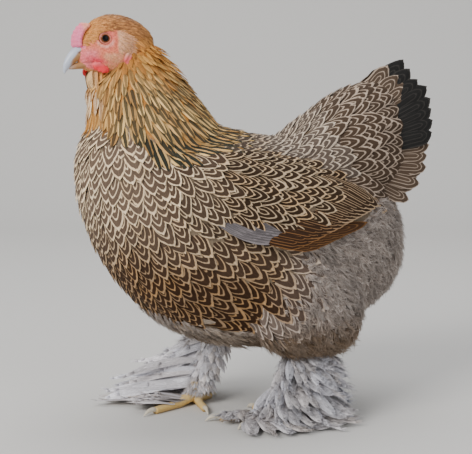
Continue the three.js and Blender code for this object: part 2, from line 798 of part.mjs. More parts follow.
// Colours from the bird: the closest plain colour to each part's plumage or skin
const COLOURS = {
  head: [0xb9814f, 0.75],
  neck: [0xc99a55, 0.75],
  torso: [0x9a8263, 0.85],
  wing: [0x87694a, 0.8],
  tail: [0x77644f, 0.8],
  thigh: [0x8d7f70, 0.9],
  shank: [0x9c9ba0, 0.9],
  foot: [0xb9a06a, 0.8],
  claw: [0xd9cdb4, 0.45],
  beak: [0xa9a08f, 0.45],
  comb: [0xd9808a, 0.55],
  wattle: [0xd94b4f, 0.5],
  earlobe: [0xd98378, 0.6],
  eye: [0x2a1408, 0.15],
};

function meshOf(name, made) {
  const { vertProperties, triVerts, numProp } = made.getMesh();
  const position = new Float32Array((vertProperties.length / numProp) * 3);
  for (let i = 0; i * 3 < position.length; i++) {
    position.set(vertProperties.subarray(i * numProp, i * numProp + 3), i * 3);
  }
  const geometry = new THREE.BufferGeometry()
    .setAttribute("position", new THREE.BufferAttribute(position, 3))
    .setIndex(new THREE.BufferAttribute(triVerts, 1));
  geometry.computeVertexNormals();
  const [color, roughness] = COLOURS[name.split("_")[0]];
  const mesh = new THREE.Mesh(geometry, new THREE.MeshStandardMaterial({ color, roughness, metalness: 0 }));
  mesh.name = name;
  return mesh;
}

const hen = new THREE.Group();
for (const [name, made] of Object.entries(buildSolids())) {
  hen.add(meshOf(name, made));
}

// The origin: on the floor, under the middle of the whole model's box
const middle = new THREE.Box3().setFromObject(hen).getCenter(new THREE.Vector3());
for (const mesh of hen.children) {
  mesh.geometry.translate(-middle.x, -middle.y, 0);
}

export default hen;
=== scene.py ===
"""Looks of a life-size partridge brahma hen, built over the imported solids.

Shapes are worked out in the design frame of the solids: millimetres, the hen facing -X, floor at z = 0.
"""

import math

import bpy
import numpy as np
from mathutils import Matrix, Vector
from mathutils.bvhtree import BVHTree


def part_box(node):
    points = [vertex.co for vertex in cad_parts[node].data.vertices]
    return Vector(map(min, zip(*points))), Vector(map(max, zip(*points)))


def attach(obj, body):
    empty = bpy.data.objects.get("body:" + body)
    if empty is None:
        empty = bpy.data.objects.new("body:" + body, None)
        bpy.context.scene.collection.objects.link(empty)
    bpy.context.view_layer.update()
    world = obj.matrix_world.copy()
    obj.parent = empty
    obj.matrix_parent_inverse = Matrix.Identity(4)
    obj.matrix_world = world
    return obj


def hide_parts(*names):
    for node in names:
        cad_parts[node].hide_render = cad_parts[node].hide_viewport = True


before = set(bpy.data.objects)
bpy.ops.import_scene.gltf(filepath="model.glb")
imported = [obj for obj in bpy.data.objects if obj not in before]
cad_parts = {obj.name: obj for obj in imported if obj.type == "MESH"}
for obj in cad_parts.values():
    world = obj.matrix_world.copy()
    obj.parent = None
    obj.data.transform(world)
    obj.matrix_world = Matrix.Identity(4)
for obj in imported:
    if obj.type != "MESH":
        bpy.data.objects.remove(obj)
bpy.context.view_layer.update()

# The design frame's shift from the row frame, read from the torso's box
TORSO_FRONT = -180.0
torso_low, torso_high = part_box("torso")
SHIFT = np.array([TORSO_FRONT - torso_low[0] * 1000, -(torso_low[1] + torso_high[1]) * 500, 0.0])
rng = np.random.default_rng(11)
X, Y, Z = np.eye(3)
# Feathers and down come no nearer to the floor than this
FLOOR_GAP = 0.4

# Stations of the body, as in the solids
TORSO = [
    [-180, 292, 268, 16],
    [-176, 318, 240, 44],
    [-160, 340, 194, 70],
    [-130, 350, 147, 87],
    [-85, 350, 107, 98],
    [-30, 337, 86, 103],
    [30, 322, 80, 103],
    [85, 318, 90, 98],
    [135, 306, 106, 86],
    [170, 272, 126, 64],
    [188, 238, 150, 42],
    [194, 210, 168, 16],
]
TORSO_POWER = 2.15
NECK = [
    [318, -92, 80, 74, 0],
    [344, -103, 70, 62, 4],
    [367, -113, 60, 50, 10],
    [388, -125, 52, 39, 20],
    [404, -127, 40, 29.5, 32],
    [414, -128, 31, 22.5, 42],
]
HEAD = [
    [-20, 430, 402, 10],
    [-15, 438, 396, 18],
    [-2, 448, 389, 22.5],
    [13, 453.5, 386, 23.5],
    [28, 454, 387, 21.5],
    [42, 449.5, 390, 17.5],
    [52, 442, 393, 13.5],
    [59, 434, 397, 9.5],
    [63, 427, 402, 5],
]
TAIL_ROOT = np.array([62.0, 0.0, 268.0])
TAIL_AXIS = np.array([0.93, 0.0, 0.37]) / math.hypot(0.93, 0.37)
TAIL_UP = np.array([-TAIL_AXIS[2], 0.0, TAIL_AXIS[0]])
TAIL = [
    [0, 52, 66],
    [50, 64, 73],
    [95, 73, 64],
    [130, 72, 44],
    [152, 60, 27],
    [166, 42, 13],
]
THIGH = [
    [206, 40, 52, 54, 42],
    [168, 46, 70, 60, 49],
    [132, 53, 70, 62, 47],
    [106, 57, 63, 62, 41],
    [89, 60, 45, 60, 30],
    [80, 61, 20, 58, 13],
]
THIGH_SHIFT = {-1: 6, 1: -48}
WING = [
    [-98, 262, 284, 1.5],
    [-92, 246, 298, 7],
    [-74, 236, 309, 11],
    [-40, 226, 312, 13],
    [10, 214, 306, 13],
    [60, 211, 290, 11.5],
    [100, 219, 268, 9],
    [124, 231, 252, 5.5],
    [134, 238, 246, 2.5],
]
HEAD_PIVOT = np.array([-120.0, 0.0, 0.0])
HEAD_YAW = math.radians(10)
HEAD_AXES = np.array(
    [
        [-math.cos(HEAD_YAW), -math.sin(HEAD_YAW), 0],
        [math.sin(HEAD_YAW), -math.cos(HEAD_YAW), 0],
        [0, 0, 1],
    ]
)
EYE_RADIUS = 7.2
EYE_OPENING = 5.5
EYE_AT = np.array([37.5, 13.0, 427.5])
LEGS = {
    -1: {"turn": -8, "hock": np.array([60.0, -50, 84]), "ball": np.array([33.0, -47, 11])},
    1: {"turn": -27, "hock": np.array([-8.0, 51, 84]), "ball": np.array([-37.0, 41, 11])},
}
TOES = {
    "middle": {"turn": 0, "length": 65, "base": 6.0, "end": 4.2, "claw": 17, "plates": 11},
    "inner": {"turn": -62, "length": 39, "base": 5.4, "end": 3.9, "claw": 14, "plates": 7},
    "outer": {"turn": 36, "length": 50, "base": 5.4, "end": 3.8, "claw": 13, "plates": 8},
    "hind": {"turn": 172, "length": 27, "base": 4.6, "end": 3.6, "claw": 13, "plates": 4},
}
# How far the skin lies within the solids: under the body's coat, the wing's and the head's
COAT_DEPTH, WING_DEPTH, HEAD_DEPTH = 4.0, 3.0, 0.8

# Colours, linear
BREAST_LIGHT, BREAST_DARK = (0.88, 0.69, 0.46), (0.135, 0.092, 0.064)
# The lower flank's colours, darker partly by the feathers' own colour and partly by painted shade
LOW_LIGHT, LOW_DARK = (0.33, 0.21, 0.115), (0.034, 0.015, 0.006)
WING_LIGHT, WING_DARK = (0.53, 0.40, 0.26), (0.032, 0.017, 0.008)
TAIL_LIGHT, TAIL_DARK = (0.45, 0.35, 0.27), (0.060, 0.038, 0.024)
FLUFF_LIGHT, FLUFF_DARK = (0.60, 0.53, 0.48), (0.24, 0.19, 0.16)
BELLY_LIGHT, BELLY_DARK = (0.56, 0.46, 0.37), (0.20, 0.145, 0.10)
HOCK_LIGHT, HOCK_DARK = (0.36, 0.25, 0.165), (0.065, 0.040, 0.024)
SADDLE_LIGHT, SADDLE_DARK = (0.58, 0.49, 0.40), (0.12, 0.092, 0.074)
GOLD, GOLD_DEEP = (0.76, 0.37, 0.085), (0.40, 0.145, 0.025)
HACKLE_LIGHT, HACKLE_DARK = (0.86, 0.56, 0.22), (0.020, 0.024, 0.018)
CREAM = (0.92, 0.74, 0.50)
# The foot feathers' grey, with a blue cast that is painted sky light
FOOT_LIGHT, FOOT_DARK = (0.68, 0.68, 0.74), (0.28, 0.27, 0.29)
RUST_LIGHT, RUST_DARK = (0.27, 0.125, 0.045), (0.035, 0.016, 0.008)
BLACK_LIGHT, BLACK_DARK = (0.034, 0.031, 0.028), (0.008, 0.008, 0.008)
CROWN, CROWN_DEEP = (0.86, 0.37, 0.11), (0.36, 0.12, 0.03)
PINK, RED = (0.86, 0.21, 0.22), (0.80, 0.035, 0.045)
FACE = (0.80, 0.21, 0.12)
COMB_PINK = (0.86, 0.19, 0.33)
YELLOW = (0.70, 0.47, 0.15)
FLIGHT_GREY = (0.22, 0.195, 0.20)
EAR_LIGHT, NAPE = (0.86, 0.46, 0.26), (0.72, 0.33, 0.075)
# A greyish painted sheen for the top of the crown, and the crown's own brown
CROWN_PAINTED_SHEEN, CROWN_BROWN = (0.46, 0.38, 0.28), (0.34, 0.15, 0.075)
# The lore's orange, and painted shade behind the ear and under the jaw
LORE, CHEEK_SHADE = (0.92, 0.40, 0.10), (0.34, 0.10, 0.03)
THROAT_PALE, THROAT_DEEP = (0.90, 0.60, 0.31), (0.80, 0.31, 0.065)
CHEEK_SKIN, EYE_SKIN, EYE_RING = (0.76, 0.36, 0.20), (0.82, 0.17, 0.13), (0.86, 0.42, 0.33)
MOUTH_FOLD, MOUTH_LINE = (0.75, 0.06, 0.10), (0.20, 0.03, 0.03)
LOBE_SKIN, EAR_SKIN = (0.78, 0.15, 0.15), (0.70, 0.40, 0.24)
BONE, BROWN_HORN, PALE_HORN = (0.50, 0.54, 0.63), (0.40, 0.20, 0.08), (0.62, 0.56, 0.44)
NOSTRIL, PUPIL = (0.05, 0.03, 0.03), (0.004, 0.003, 0.003)
IRIS, IRIS_RIM = (0.18, 0.055, 0.014), (0.04, 0.014, 0.006)
LID, LID_DUSK = (0.66, 0.21, 0.15), (0.20, 0.06, 0.035)
# Painted shade for the hollows of the comb, and the comb's own orange root
COMB_PAINTED_SHADE, COMB_ROOT = (0.78, 0.16, 0.24), (0.84, 0.34, 0.18)
RED_PALE, LOBE, LOBE_PALE = (0.86, 0.16, 0.17), (0.78, 0.14, 0.14), (0.72, 0.36, 0.24)
SOLE, TOE_TOP, CLAW_ROOT = (0.42, 0.27, 0.12), (0.62, 0.50, 0.30), (0.34, 0.25, 0.15)


def station(table, share):
    """A row of a station table at a share of its length, on a smooth curve through the rows."""
    rows = np.asarray(table, float)
    last = len(rows) - 1
    at = min(max(share, 0.0), 1.0) * last
    i = min(int(at), last - 1)
    t = at - i
    p0, p1, p2, p3 = (rows[min(max(i + k, 0), last)] for k in (-1, 0, 1, 2))
    bend = 2 * p0 - 5 * p1 + 4 * p2 - p3
    return p1 + 0.5 * t * (p2 - p0 + t * (bend + t * (3 * (p1 - p2) + p3 - p0)))


def stations(table, count):
    """Rows at even shares of a station table."""
    return np.array([station(table, k / (count - 1)) for k in range(count)])


FINE = {id(table): stations(table, 401) for table in (TORSO, NECK, WING, HEAD)}


def at_value(table, value):
    """The table's row where its first column has a value."""
    rows = FINE[id(table)]
    return np.array([np.interp(value, rows[:, 0], rows[:, c]) for c in range(rows.shape[1])])


def torso_side(x, z):
    """How far the torso's side lies from the midline."""
    _, top, bottom, half = at_value(TORSO, x)
    height = min(abs(z - (top + bottom) / 2) / ((top - bottom) / 2), 0.97)
    return half * (1 - height**TORSO_POWER) ** (1 / TORSO_POWER)


def ring(centre, side, upward, half, up, power, count):
    """One superellipse ring about a centre."""
    angle = np.linspace(0, 2 * math.pi, count, endpoint=False)
    c, s = np.cos(angle), np.sin(angle)
    across = half * np.sign(c) * np.abs(c) ** (2 / power)
    height = up * np.sign(s) * np.abs(s) ** (2 / power)
    across, height = across[:, None], height[:, None]
    return np.asarray(centre) + across * np.asarray(side) + height * np.asarray(upward)


def loft(rings):
    """Points and faces of a closed surface through rings of equal count."""
    count = len(rings[0])
    points = np.concatenate([*rings, [rings[0].mean(0)], [rings[-1].mean(0)]])
    faces = []
    for r in range(len(rings) - 1):
        for k in range(count):
            a, b = r * count + k, r * count + (k + 1) % count
            faces.append((a, b, b + count, a + count))
    start, end = len(points) - 2, len(points) - 1
    last = (len(rings) - 1) * count
    for k in range(count):
        faces.append(((k + 1) % count, k, start))
        faces.append((last + k, last + (k + 1) % count, end))
    return points, faces


def joined(parts):
    """Several (points, faces) as one."""
    points, faces, offset = [], [], 0
    for p, f in parts:
        points.append(p)
        faces += [tuple(i + offset for i in face) for face in f]
        offset += len(p)
    return np.concatenate(points), faces


def to_frame(points):
    """Points of the design frame in the row frame's metres."""
    return (np.asarray(points, float) - SHIFT) * 0.001


def from_head(points):
    """Points in the head's frame (forward, left, up) in the design frame."""
    return np.asarray(points) @ HEAD_AXES + HEAD_PIVOT


def to_head(points):
    """Points in the design frame in the head's frame."""
    return (np.asarray(points) - HEAD_PIVOT) @ HEAD_AXES.T


def placed(name, data):
    """A new object in the scene."""
    obj = bpy.data.objects.new(name, data)
    bpy.context.collection.objects.link(obj)
    return obj


def mesh_object(name, points, faces):
    """A smooth object from points of the design frame, and faces as a list or an even array."""
    mesh = bpy.data.meshes.new(name)
    if isinstance(faces, np.ndarray):
        mesh.vertices.add(len(points))
        mesh.vertices.foreach_set("co", to_frame(points).ravel())
        mesh.loops.add(faces.size)
        mesh.polygons.add(len(faces))
        mesh.loops.foreach_set("vertex_index", faces.ravel().astype(np.int32))
        mesh.polygons.foreach_set("loop_start", np.arange(0, faces.size, faces.shape[1], dtype=np.int32))
        mesh.update(calc_edges=True)
    else:
        mesh.from_pydata(to_frame(points).tolist(), [], faces)
    mesh.validate()
    mesh.polygons.foreach_set("use_smooth", np.full(len(mesh.polygons), True))
    return placed(name, mesh)


def points_of(mesh):
    """A mesh's vertices in the design frame."""
    co = np.empty(len(mesh.vertices) * 3)
    mesh.vertices.foreach_get("co", co)
    return co.reshape(-1, 3) * 1000 + SHIFT


def paint(obj, name, colours):
    """A colour per vertex, linear."""
    attribute = obj.data.color_attributes.new(name, "FLOAT_COLOR", "POINT")
    rgba = np.concatenate([np.clip(colours, 0, 1), np.ones((len(colours), 1))], axis=1)
    attribute.data.foreach_set("color", rgba.ravel().astype(np.float32))


def mix(a, b, share):
    """From a to b by a share, or by a share for each point."""
    share = np.asarray(share, float)
    if share.ndim:
        share = share[:, None]
    return np.asarray(a) * (1 - share) + np.asarray(b) * share


def layered(colour, *layers):
    """A colour with others laid over it in turn, each by its share."""
    for over, share in layers:
        colour = mix(colour, over, share)
    return colour


def smooth_step(low, high, value):
    t = np.clip((np.asarray(value, float) - low) / (high - low), 0, 1)
    return t * t * (3 - 2 * t)


def soft_spot(x, y, at, radii):
    """1 at a place in a plane, falling softly to 0 about it."""
    return np.exp(-(((x - at[0]) / radii[0]) ** 2 + ((y - at[1]) / radii[1]) ** 2))


# Core forms, drawn in by the depth of the coat
def torso_form(grow):
    """The torso as a loft, larger than its stations by grow, as are the forms below."""
    rings = []
    rows = stations(TORSO, 40)
    rows[0, 0] -= grow
    rows[-1, 0] += grow
    for x, top, bottom, half in rows:
        height = (top - bottom) / 2 + grow
        rings.append(ring([x, 0, (top + bottom) / 2], Y, Z, half + grow, height, TORSO_POWER, 48))
    return loft(rings)


def neck_form(grow):
    rings = []
    for z, x, depth, half, tilt in stations(NECK, 20):
        back = [math.cos(math.radians(tilt)), 0, math.sin(math.radians(tilt))]
        rings.append(ring([x, 0, z], back, Y, depth + grow, half + grow, 2, 36))
    return loft(rings)


def tail_form(grow):
    rings = []
    for along, height, half in stations(TAIL, 20):
        rings.append(ring(TAIL_ROOT + TAIL_AXIS * along, Y, TAIL_UP, half + grow, height + grow, 2, 36))
    return loft(rings)


def thigh_form(side, grow):
    rings = []
    for z, x, depth, out, half in stations(THIGH, 16):
        centre = [x + THIGH_SHIFT[side], side * out, z]
        rings.append(ring(centre, X, Y, depth + grow, half + grow, 2.1, 32))
    return loft(rings)


def wing_form(side, grow):
    rings = []
    q = np.linspace(-1, 1, 11)
    for x, low, high, thick in stations(WING, 24):
        heights = (low + high) / 2 + q * (high - low) / 2
        rise = [(thick + grow) * math.sqrt(max(1 - s * s, 0)) for s in q]
        outer = [[x, side * (torso_side(x, z) + r), z] for z, r in zip(heights, rise)]
        inner = [[x, side * (torso_side(x, z) - 8), z] for z in heights[::-1]]
        rings.append(np.array(outer + inner))
    return loft(rings)


def limb_form(path, count=16):
    """A tube through (position, radius) pairs."""
    rings = []
    for k, (at, radius) in enumerate(path):
        along = path[min(k + 1, len(path) - 1)][0] - path[max(k - 1, 0)][0]
        along = along / np.linalg.norm(along)
        first = np.cross(X if abs(along[2]) > 0.8 else Z, along)
        first /= np.linalg.norm(first)
        rings.append(ring(at, first, np.cross(along, first), radius, radius, 2, count))
    return loft(rings)


def evaluated(obj):
    """The object's mesh with its modifiers applied."""
    graph = bpy.context.evaluated_depsgraph_get()
    return bpy.data.meshes.new_from_object(obj.evaluated_get(graph), depsgraph=graph)


def fused(name, parts, voxel, rounds):
    """One smooth closed surface over several overlapping forms."""
    obj = mesh_object(name, *joined(parts))
    remesh = obj.modifiers.new("fuse", "REMESH")
    remesh.mode = "VOXEL"
    remesh.voxel_size = voxel * 0.001
    soften = obj.modifiers.new("soften", "SMOOTH")
    soften.factor = 0.6
    soften.iterations = rounds
    mesh = evaluated(obj)
    bpy.data.objects.remove(obj)
    return mesh


def bump_at(points, centre, radii, height):
    """A soft rise or dip on a surface about a place."""
    distance = (((points - np.asarray(centre)) / np.asarray(radii)) ** 2).sum(1)
    return height * np.exp(-distance)


# Brow, socket, lids, cheek, mouth's fold and ear: place on the left side, radii and height
HEAD_BUMPS = [
    (EYE_AT + [0, 4, 0], [8.5, 12, 7.5], -1.5),
    (EYE_AT + [-1, 3, 10.5], [12, 9, 3.4], 1.3),
    (EYE_AT + [-1, 4, -10], [10, 9, 2.6], 0.9),
    ([28, 20, 408], [13, 9, 8], 1.0),
    ([50, 9, 402.5], [8, 7, 1.3], -1.4),
    ([53, 9, 408.5], [9, 7, 2.8], 1.1),
    ([15, 22, 422], [6.5, 9, 9], 1.6),
    ([24, 22, 425], [2.2, 9, 9], -0.7),
]
HEAD_MIDDLE = np.array([20.0, 0, 420.0])


def head_form(grow):
    """The head with its bumps, the creases about its eyes and its pleats, in the design frame."""
    rings = []
    for u, top, bottom, half in stations(HEAD, 140):
        height = (top - bottom) / 2 + grow
        rings.append(ring([u, 0, (top + bottom) / 2], Y, Z, half + grow, height, 2.1, 160))
    points, faces = loft(rings)
    outward = points - HEAD_MIDDLE
    outward /= np.linalg.norm(outward, axis=1, keepdims=True) + 1e-9
    for side in (-1, 1):
        lift = 0
        for at, radii, height in HEAD_BUMPS:
            lift = lift + bump_at(points, np.array(at) * [1, side, 1], radii, height)
        u, v, z = points.T
        across = np.hypot(u - EYE_AT[0], z - EYE_AT[2])
        near_side = v * side > 4
        creases = 0.22 * np.sin(across * 2.6) * np.exp(-(((across - 9.5) / 3.2) ** 2)) * near_side
        pleats = 0.14 * np.sin(u * 1.1 + z * 0.9 + np.sin(z * 0.5) * 2)
        pleats = pleats * near_side * smooth_step(8, 14, u) * smooth_step(436, 430, z)
        lift = lift + creases + pleats
        points = points + outward * lift[:, None]
    return from_head(points), faces


core_parts = [torso_form(-COAT_DEPTH), neck_form(-COAT_DEPTH), tail_form(-COAT_DEPTH)]
core_parts += [thigh_form(side, -COAT_DEPTH) for side in (-1, 1)]
core_parts += [wing_form(side, -WING_DEPTH) for side in (-1, 1)]
body_mesh = fused("body", core_parts, voxel=3.2, rounds=14)
body_points = points_of(body_mesh)
body_mesh.calc_loop_triangles()
body_triangles = np.array([t.vertices[:] for t in body_mesh.loop_triangles])
body_tree = BVHTree.FromPolygons(body_points.tolist(), body_triangles.tolist())

head_points, head_faces = head_form(-HEAD_DEPTH)
head_triangles = []
for face in head_faces:
    head_triangles.append(face[:3])
    if len(face) == 4:
        head_triangles.append((face[0], face[2], face[3]))
head_triangles = np.array(head_triangles)
head_tree = BVHTree.FromPolygons(head_points.tolist(), head_triangles.tolist())


def unit(v):
    """Vectors at length 1."""
    return v / (np.linalg.norm(v, axis=-1, keepdims=True) + 1e-12)


# Size of a cell of the grid in which near places are looked up, and the cells about one
CELL = 18.0
AROUND = [(dx, dy, dz) for dx in (-1, 0, 1) for dy in (-1, 0, 1) for dz in (-1, 0, 1)]


def scatter(points, triangles, spacing_of, tries, seed, way_of=None, stretch=1.0):
    """Places on a surface no nearer to each other than spacing_of(place), with the surface's normals."""
    draw = np.random.default_rng(seed)
    a, b, c = (points[triangles[:, k]] for k in range(3))
    cross = np.cross(b - a, c - a)
    area = np.linalg.norm(cross, axis=1)
    pick = draw.choice(len(triangles), tries, p=area / area.sum())
    r1, r2 = np.sqrt(draw.random(tries))[:, None], draw.random(tries)[:, None]
    places = a[pick] * (1 - r1) + b[pick] * r1 * (1 - r2) + c[pick] * r1 * r2
    normals = cross[pick] / area[pick][:, None]
    spacing = spacing_of(places)
    ways = way_of(places) if way_of else np.zeros((tries, 3))
    ways = unit(ways - normals * (ways * normals).sum(1, keepdims=True))
    shorten = 1 - 1 / stretch**2
    grid, kept = {}, []
    for i in np.flatnonzero(spacing > 0):
        p, s = places[i], spacing[i]
        key = tuple((p // CELL).astype(int))
        near = [
            j
            for dx, dy, dz in AROUND
            for j in grid.get((key[0] + dx, key[1] + dy, key[2] + dz), ())
        ]
        gaps = places[near] - p
        if not near or ((gaps**2).sum(1) - shorten * (gaps @ ways[i]) ** 2).min() > s * s:
            grid.setdefault(key, []).append(i)
            kept.append(i)
    return places[kept], normals[kept]


# The lie of the coat: at a place x, z on the side, the way (x, z) that feathers point
FLOW = np.array(
    [
        [-178, 300, 0.12, -1],
        [-172, 235, 0.22, -1],
        [-140, 185, 0.5, -0.87],
        [-105, 145, 0.78, -0.62],
        [-60, 112, 0.95, -0.3],
        [0, 88, 1, -0.12],
        [-150, 385, 0.1, -1],
        [-160, 345, 0.06, -1],
        [-120, 400, 0.35, -0.93],
        [-120, 300, 0.3, -0.95],
        [-100, 360, 0.4, -0.92],
        [-70, 385, 0.6, -0.8],
        [-50, 350, 0.68, -0.73],
        [-70, 310, 0.72, -0.7],
        [-75, 240, 0.75, -0.66],
        [-20, 190, 0.8, -0.6],
        [-30, 290, 0.95, -0.3],
        [30, 270, 0.96, -0.28],
        [100, 245, 0.97, -0.2],
        [-20, 325, 0.98, -0.18],
        [30, 322, 1, 0.06],
        [70, 332, 0.95, 0.3],
        [120, 362, 0.82, 0.57],
        [170, 395, 0.78, 0.62],
        [170, 350, 0.93, 0.36],
        [110, 310, 0.95, 0.3],
        [200, 320, 0.99, 0.12],
        [150, 285, 0.98, -0.15],
        [190, 275, 0.9, -0.42],
        [150, 225, 0.8, -0.6],
        [180, 190, 0.55, -0.83],
        [60, 190, 0.75, -0.66],
        [30, 150, 0.6, -0.8],
        [70, 110, 0.5, -0.87],
        [120, 130, 0.5, -0.87],
    ],
    float,
)


def flow_at(places):
    """The way the coat lies at each place."""
    gap = (places[:, None, 0] - FLOW[None, :, 0]) ** 2 + (places[:, None, 2] - FLOW[None, :, 1]) ** 2
    weight = 1 / (gap + 60) ** 1.5
    way = (weight[:, :, None] * FLOW[None, :, 2:]).sum(1) / weight.sum(1)[:, None]
    return np.stack([way[:, 0], np.zeros(len(places)), way[:, 1]], axis=1)


# Where along its length a feather has its rows of points, and how thick it is there
ROWS = np.array([0, 0.3, 0.52, 0.7, 0.84, 0.94, 1.0])
TIP_ROWS = np.array([0, 0.4, 0.72, 0.84, 0.92, 0.975, 1.0])
THICKNESS = np.array([1, 1, 1, 1, 0.9, 0.6, 0.0])
OUTLINES = {
    "round": np.array([0.5, 0.92, 0.91, 0.75, 0.54, 0.31, 0.05]),
    "point": np.array([0.6, 0.95, 1.0, 0.86, 0.62, 0.32, 0.04]),
    "long": np.array([0.6, 0.9, 1.0, 0.97, 0.84, 0.58, 0.12]),
    "blunt": np.array([0.6, 0.9, 1.0, 0.85, 0.61, 0.32, 0.05]),
    "wisp": np.array([0.7, 1.0, 0.92, 0.74, 0.5, 0.25, 0.05]),
}


# The middle of the bands lies at this share of the feather's map, and of a blunt feather's own length
BANDS_FROM, TIP_FROM = 0.3, 0.72
# The three corners of a barb at its root, three at its middle and its tip: how far along and across it
BARB_ALONG = np.array([0, 0, 0, 0.5, 0.5, 0.5, 1.0])
BARB_ACROSS = np.array([0.0, 0.5, 1.0, 0.15, 0.5, 0.85, 0.5])
# The map for baking: cells for each place, share of a cell that's used, and the largest patches
CELL_ROOM, CELL_FILL = 1.35, 0.86
VANE_PATCH, TUFT_PATCH = 0.008, 0.003


def rows_of(outline):
    """Shares of length at which a feather of this outline has its rows."""
    return TIP_ROWS if outline == "blunt" else ROWS


def lay_map(mesh, name, places):
    """A UV map from a place for each of the mesh's points."""
    order = np.empty(len(mesh.loops), np.int32)
    mesh.loops.foreach_get("vertex_index", order)
    corners = places.reshape(-1, 2)[order]
    mesh.uv_layers.new(name=name).data.foreach_set("uv", corners.ravel().astype(np.float32))


def lay_bake_map(mesh, roots, owner, patch, largest):
    """Gives each feather or tuft its own cell of the map for baking, and its points a patch there."""
    cells = math.ceil(math.sqrt(len(roots) * CELL_ROOM))
    spots = free_cells(np.clip(roots, 0, 0.9999), cells)[owner]
    size = min(CELL_FILL / cells, largest)
    lay_map(mesh, "OFBake", (spots[:, None] + 0.5) / cells + (patch - 0.5) * size)


def repeated(shape, count, stride):
    """The faces of one form for each of many, a stride of points apart."""
    return (np.array(shape)[None] + (np.arange(count) * stride)[:, None, None]).reshape(-1, 3)


class Coat:
    """Feathers gathered for one joined mesh."""

    def __init__(self, name, strips=4, thick=0.22):
        self.name = name
        self.columns = np.linspace(-1, 1, strips + 1)
        self.thick = thick
        self.feathers = []

    def add(self, spine, normals, width, outline, light, dark, stripe=0.0, contrast=1.0, camber=0.22):
        """One feather from its middle line, out-facing normals and half-width."""
        spine, normals = np.asarray(spine, float), unit(np.asarray(normals, float))
        side = unit(np.cross(unit(np.gradient(spine, axis=0)), normals))
        marks = (stripe, contrast)
        self.feathers.append((spine, normals, side, width, outline, light, dark, marks, camber))

    def leaf(self, rows):
        """The faces of one closed leaf: its outer side, then its inner side."""
        count = len(self.columns)
        o = rows * count
        faces = []
        for r in range(rows - 1):
            for k in range(count - 1):
                a, b = r * count + k, r * count + k + 1
                d, e = a + count, b + count
                faces += [(a, b, e), (a, e, d), (a + o, e + o, b + o), (a + o, d + o, e + o)]
        return faces

    def build(self, unwrap, slot, material):
        """The mesh, with a map over each feather and a map for baking by its root's place."""
        columns = (np.array(column) for column in zip(*self.feathers))
        spine, normal, side, width, names, light, dark, marks, camber = columns
        total, rows = spine.shape[:2]
        c = self.columns
        outline = np.array([OUTLINES[name] for name in names])
        shares = np.array([rows_of(name) for name in names])[:, :, None]
        half = outline * width[:, None]
        draw = np.random.default_rng(total)
        across = half[:, :, None] * c * (1 + draw.uniform(-0.1, 0.1, (total, rows, len(c))))
        length = np.linalg.norm(np.diff(spine, axis=1), axis=2).sum(1)
        along = unit(np.gradient(spine, axis=1))
        swept = -0.12 * width[:, None, None] * (shares**3) * c**2
        sunk = camber[:, None, None] * half[:, :, None] * c**2
        middle = spine[:, :, None]
        for direction, distance in ((side, across), (along, swept), (normal, -sunk)):
            middle = middle + direction[:, :, None] * distance[..., None]
        inner = (1 - c**2) * THICKNESS[:, None]
        puff = normal[:, :, None] * (self.thick * inner)[None, :, :, None]
        points = np.stack([middle + puff, middle - puff], axis=1).reshape(-1, 3)
        points[:, 2] = np.maximum(points[:, 2], FLOOR_GAP)
        per = 2 * rows * len(c)
        obj = mesh_object(self.name, points, repeated(self.leaf(rows), total, per))
        reach = shares + swept / length[:, None, None]
        past_tip = BANDS_FROM + (1 - BANDS_FROM) * (reach - TIP_FROM) / (1 - TIP_FROM)
        late = np.where(reach > TIP_FROM, past_tip, reach * BANDS_FROM / TIP_FROM)
        reach = np.where((names == "blunt")[:, None, None], late, reach)
        sideways = 0.5 + 0.5 * (outline[:, :, None] * c)
        local = np.stack(np.broadcast_arrays(sideways, np.clip(reach, 0, 1)), axis=-1)
        local = np.broadcast_to(local[:, None], (total, 2, rows, len(c), 2)).reshape(total, per, 2)
        lay_map(obj.data, "Feather", local)
        lay_bake_map(obj.data, unwrap(spine[:, 0]), np.arange(total), local, VANE_PATCH)
        chance = [[draw.random()] for _ in range(total)]
        for name, values in (("light", light), ("dark", dark), ("marks", np.hstack([marks, chance]))):
            paint(obj, name, np.repeat(values, per, axis=0))
        finish_piece(obj, material, slot)


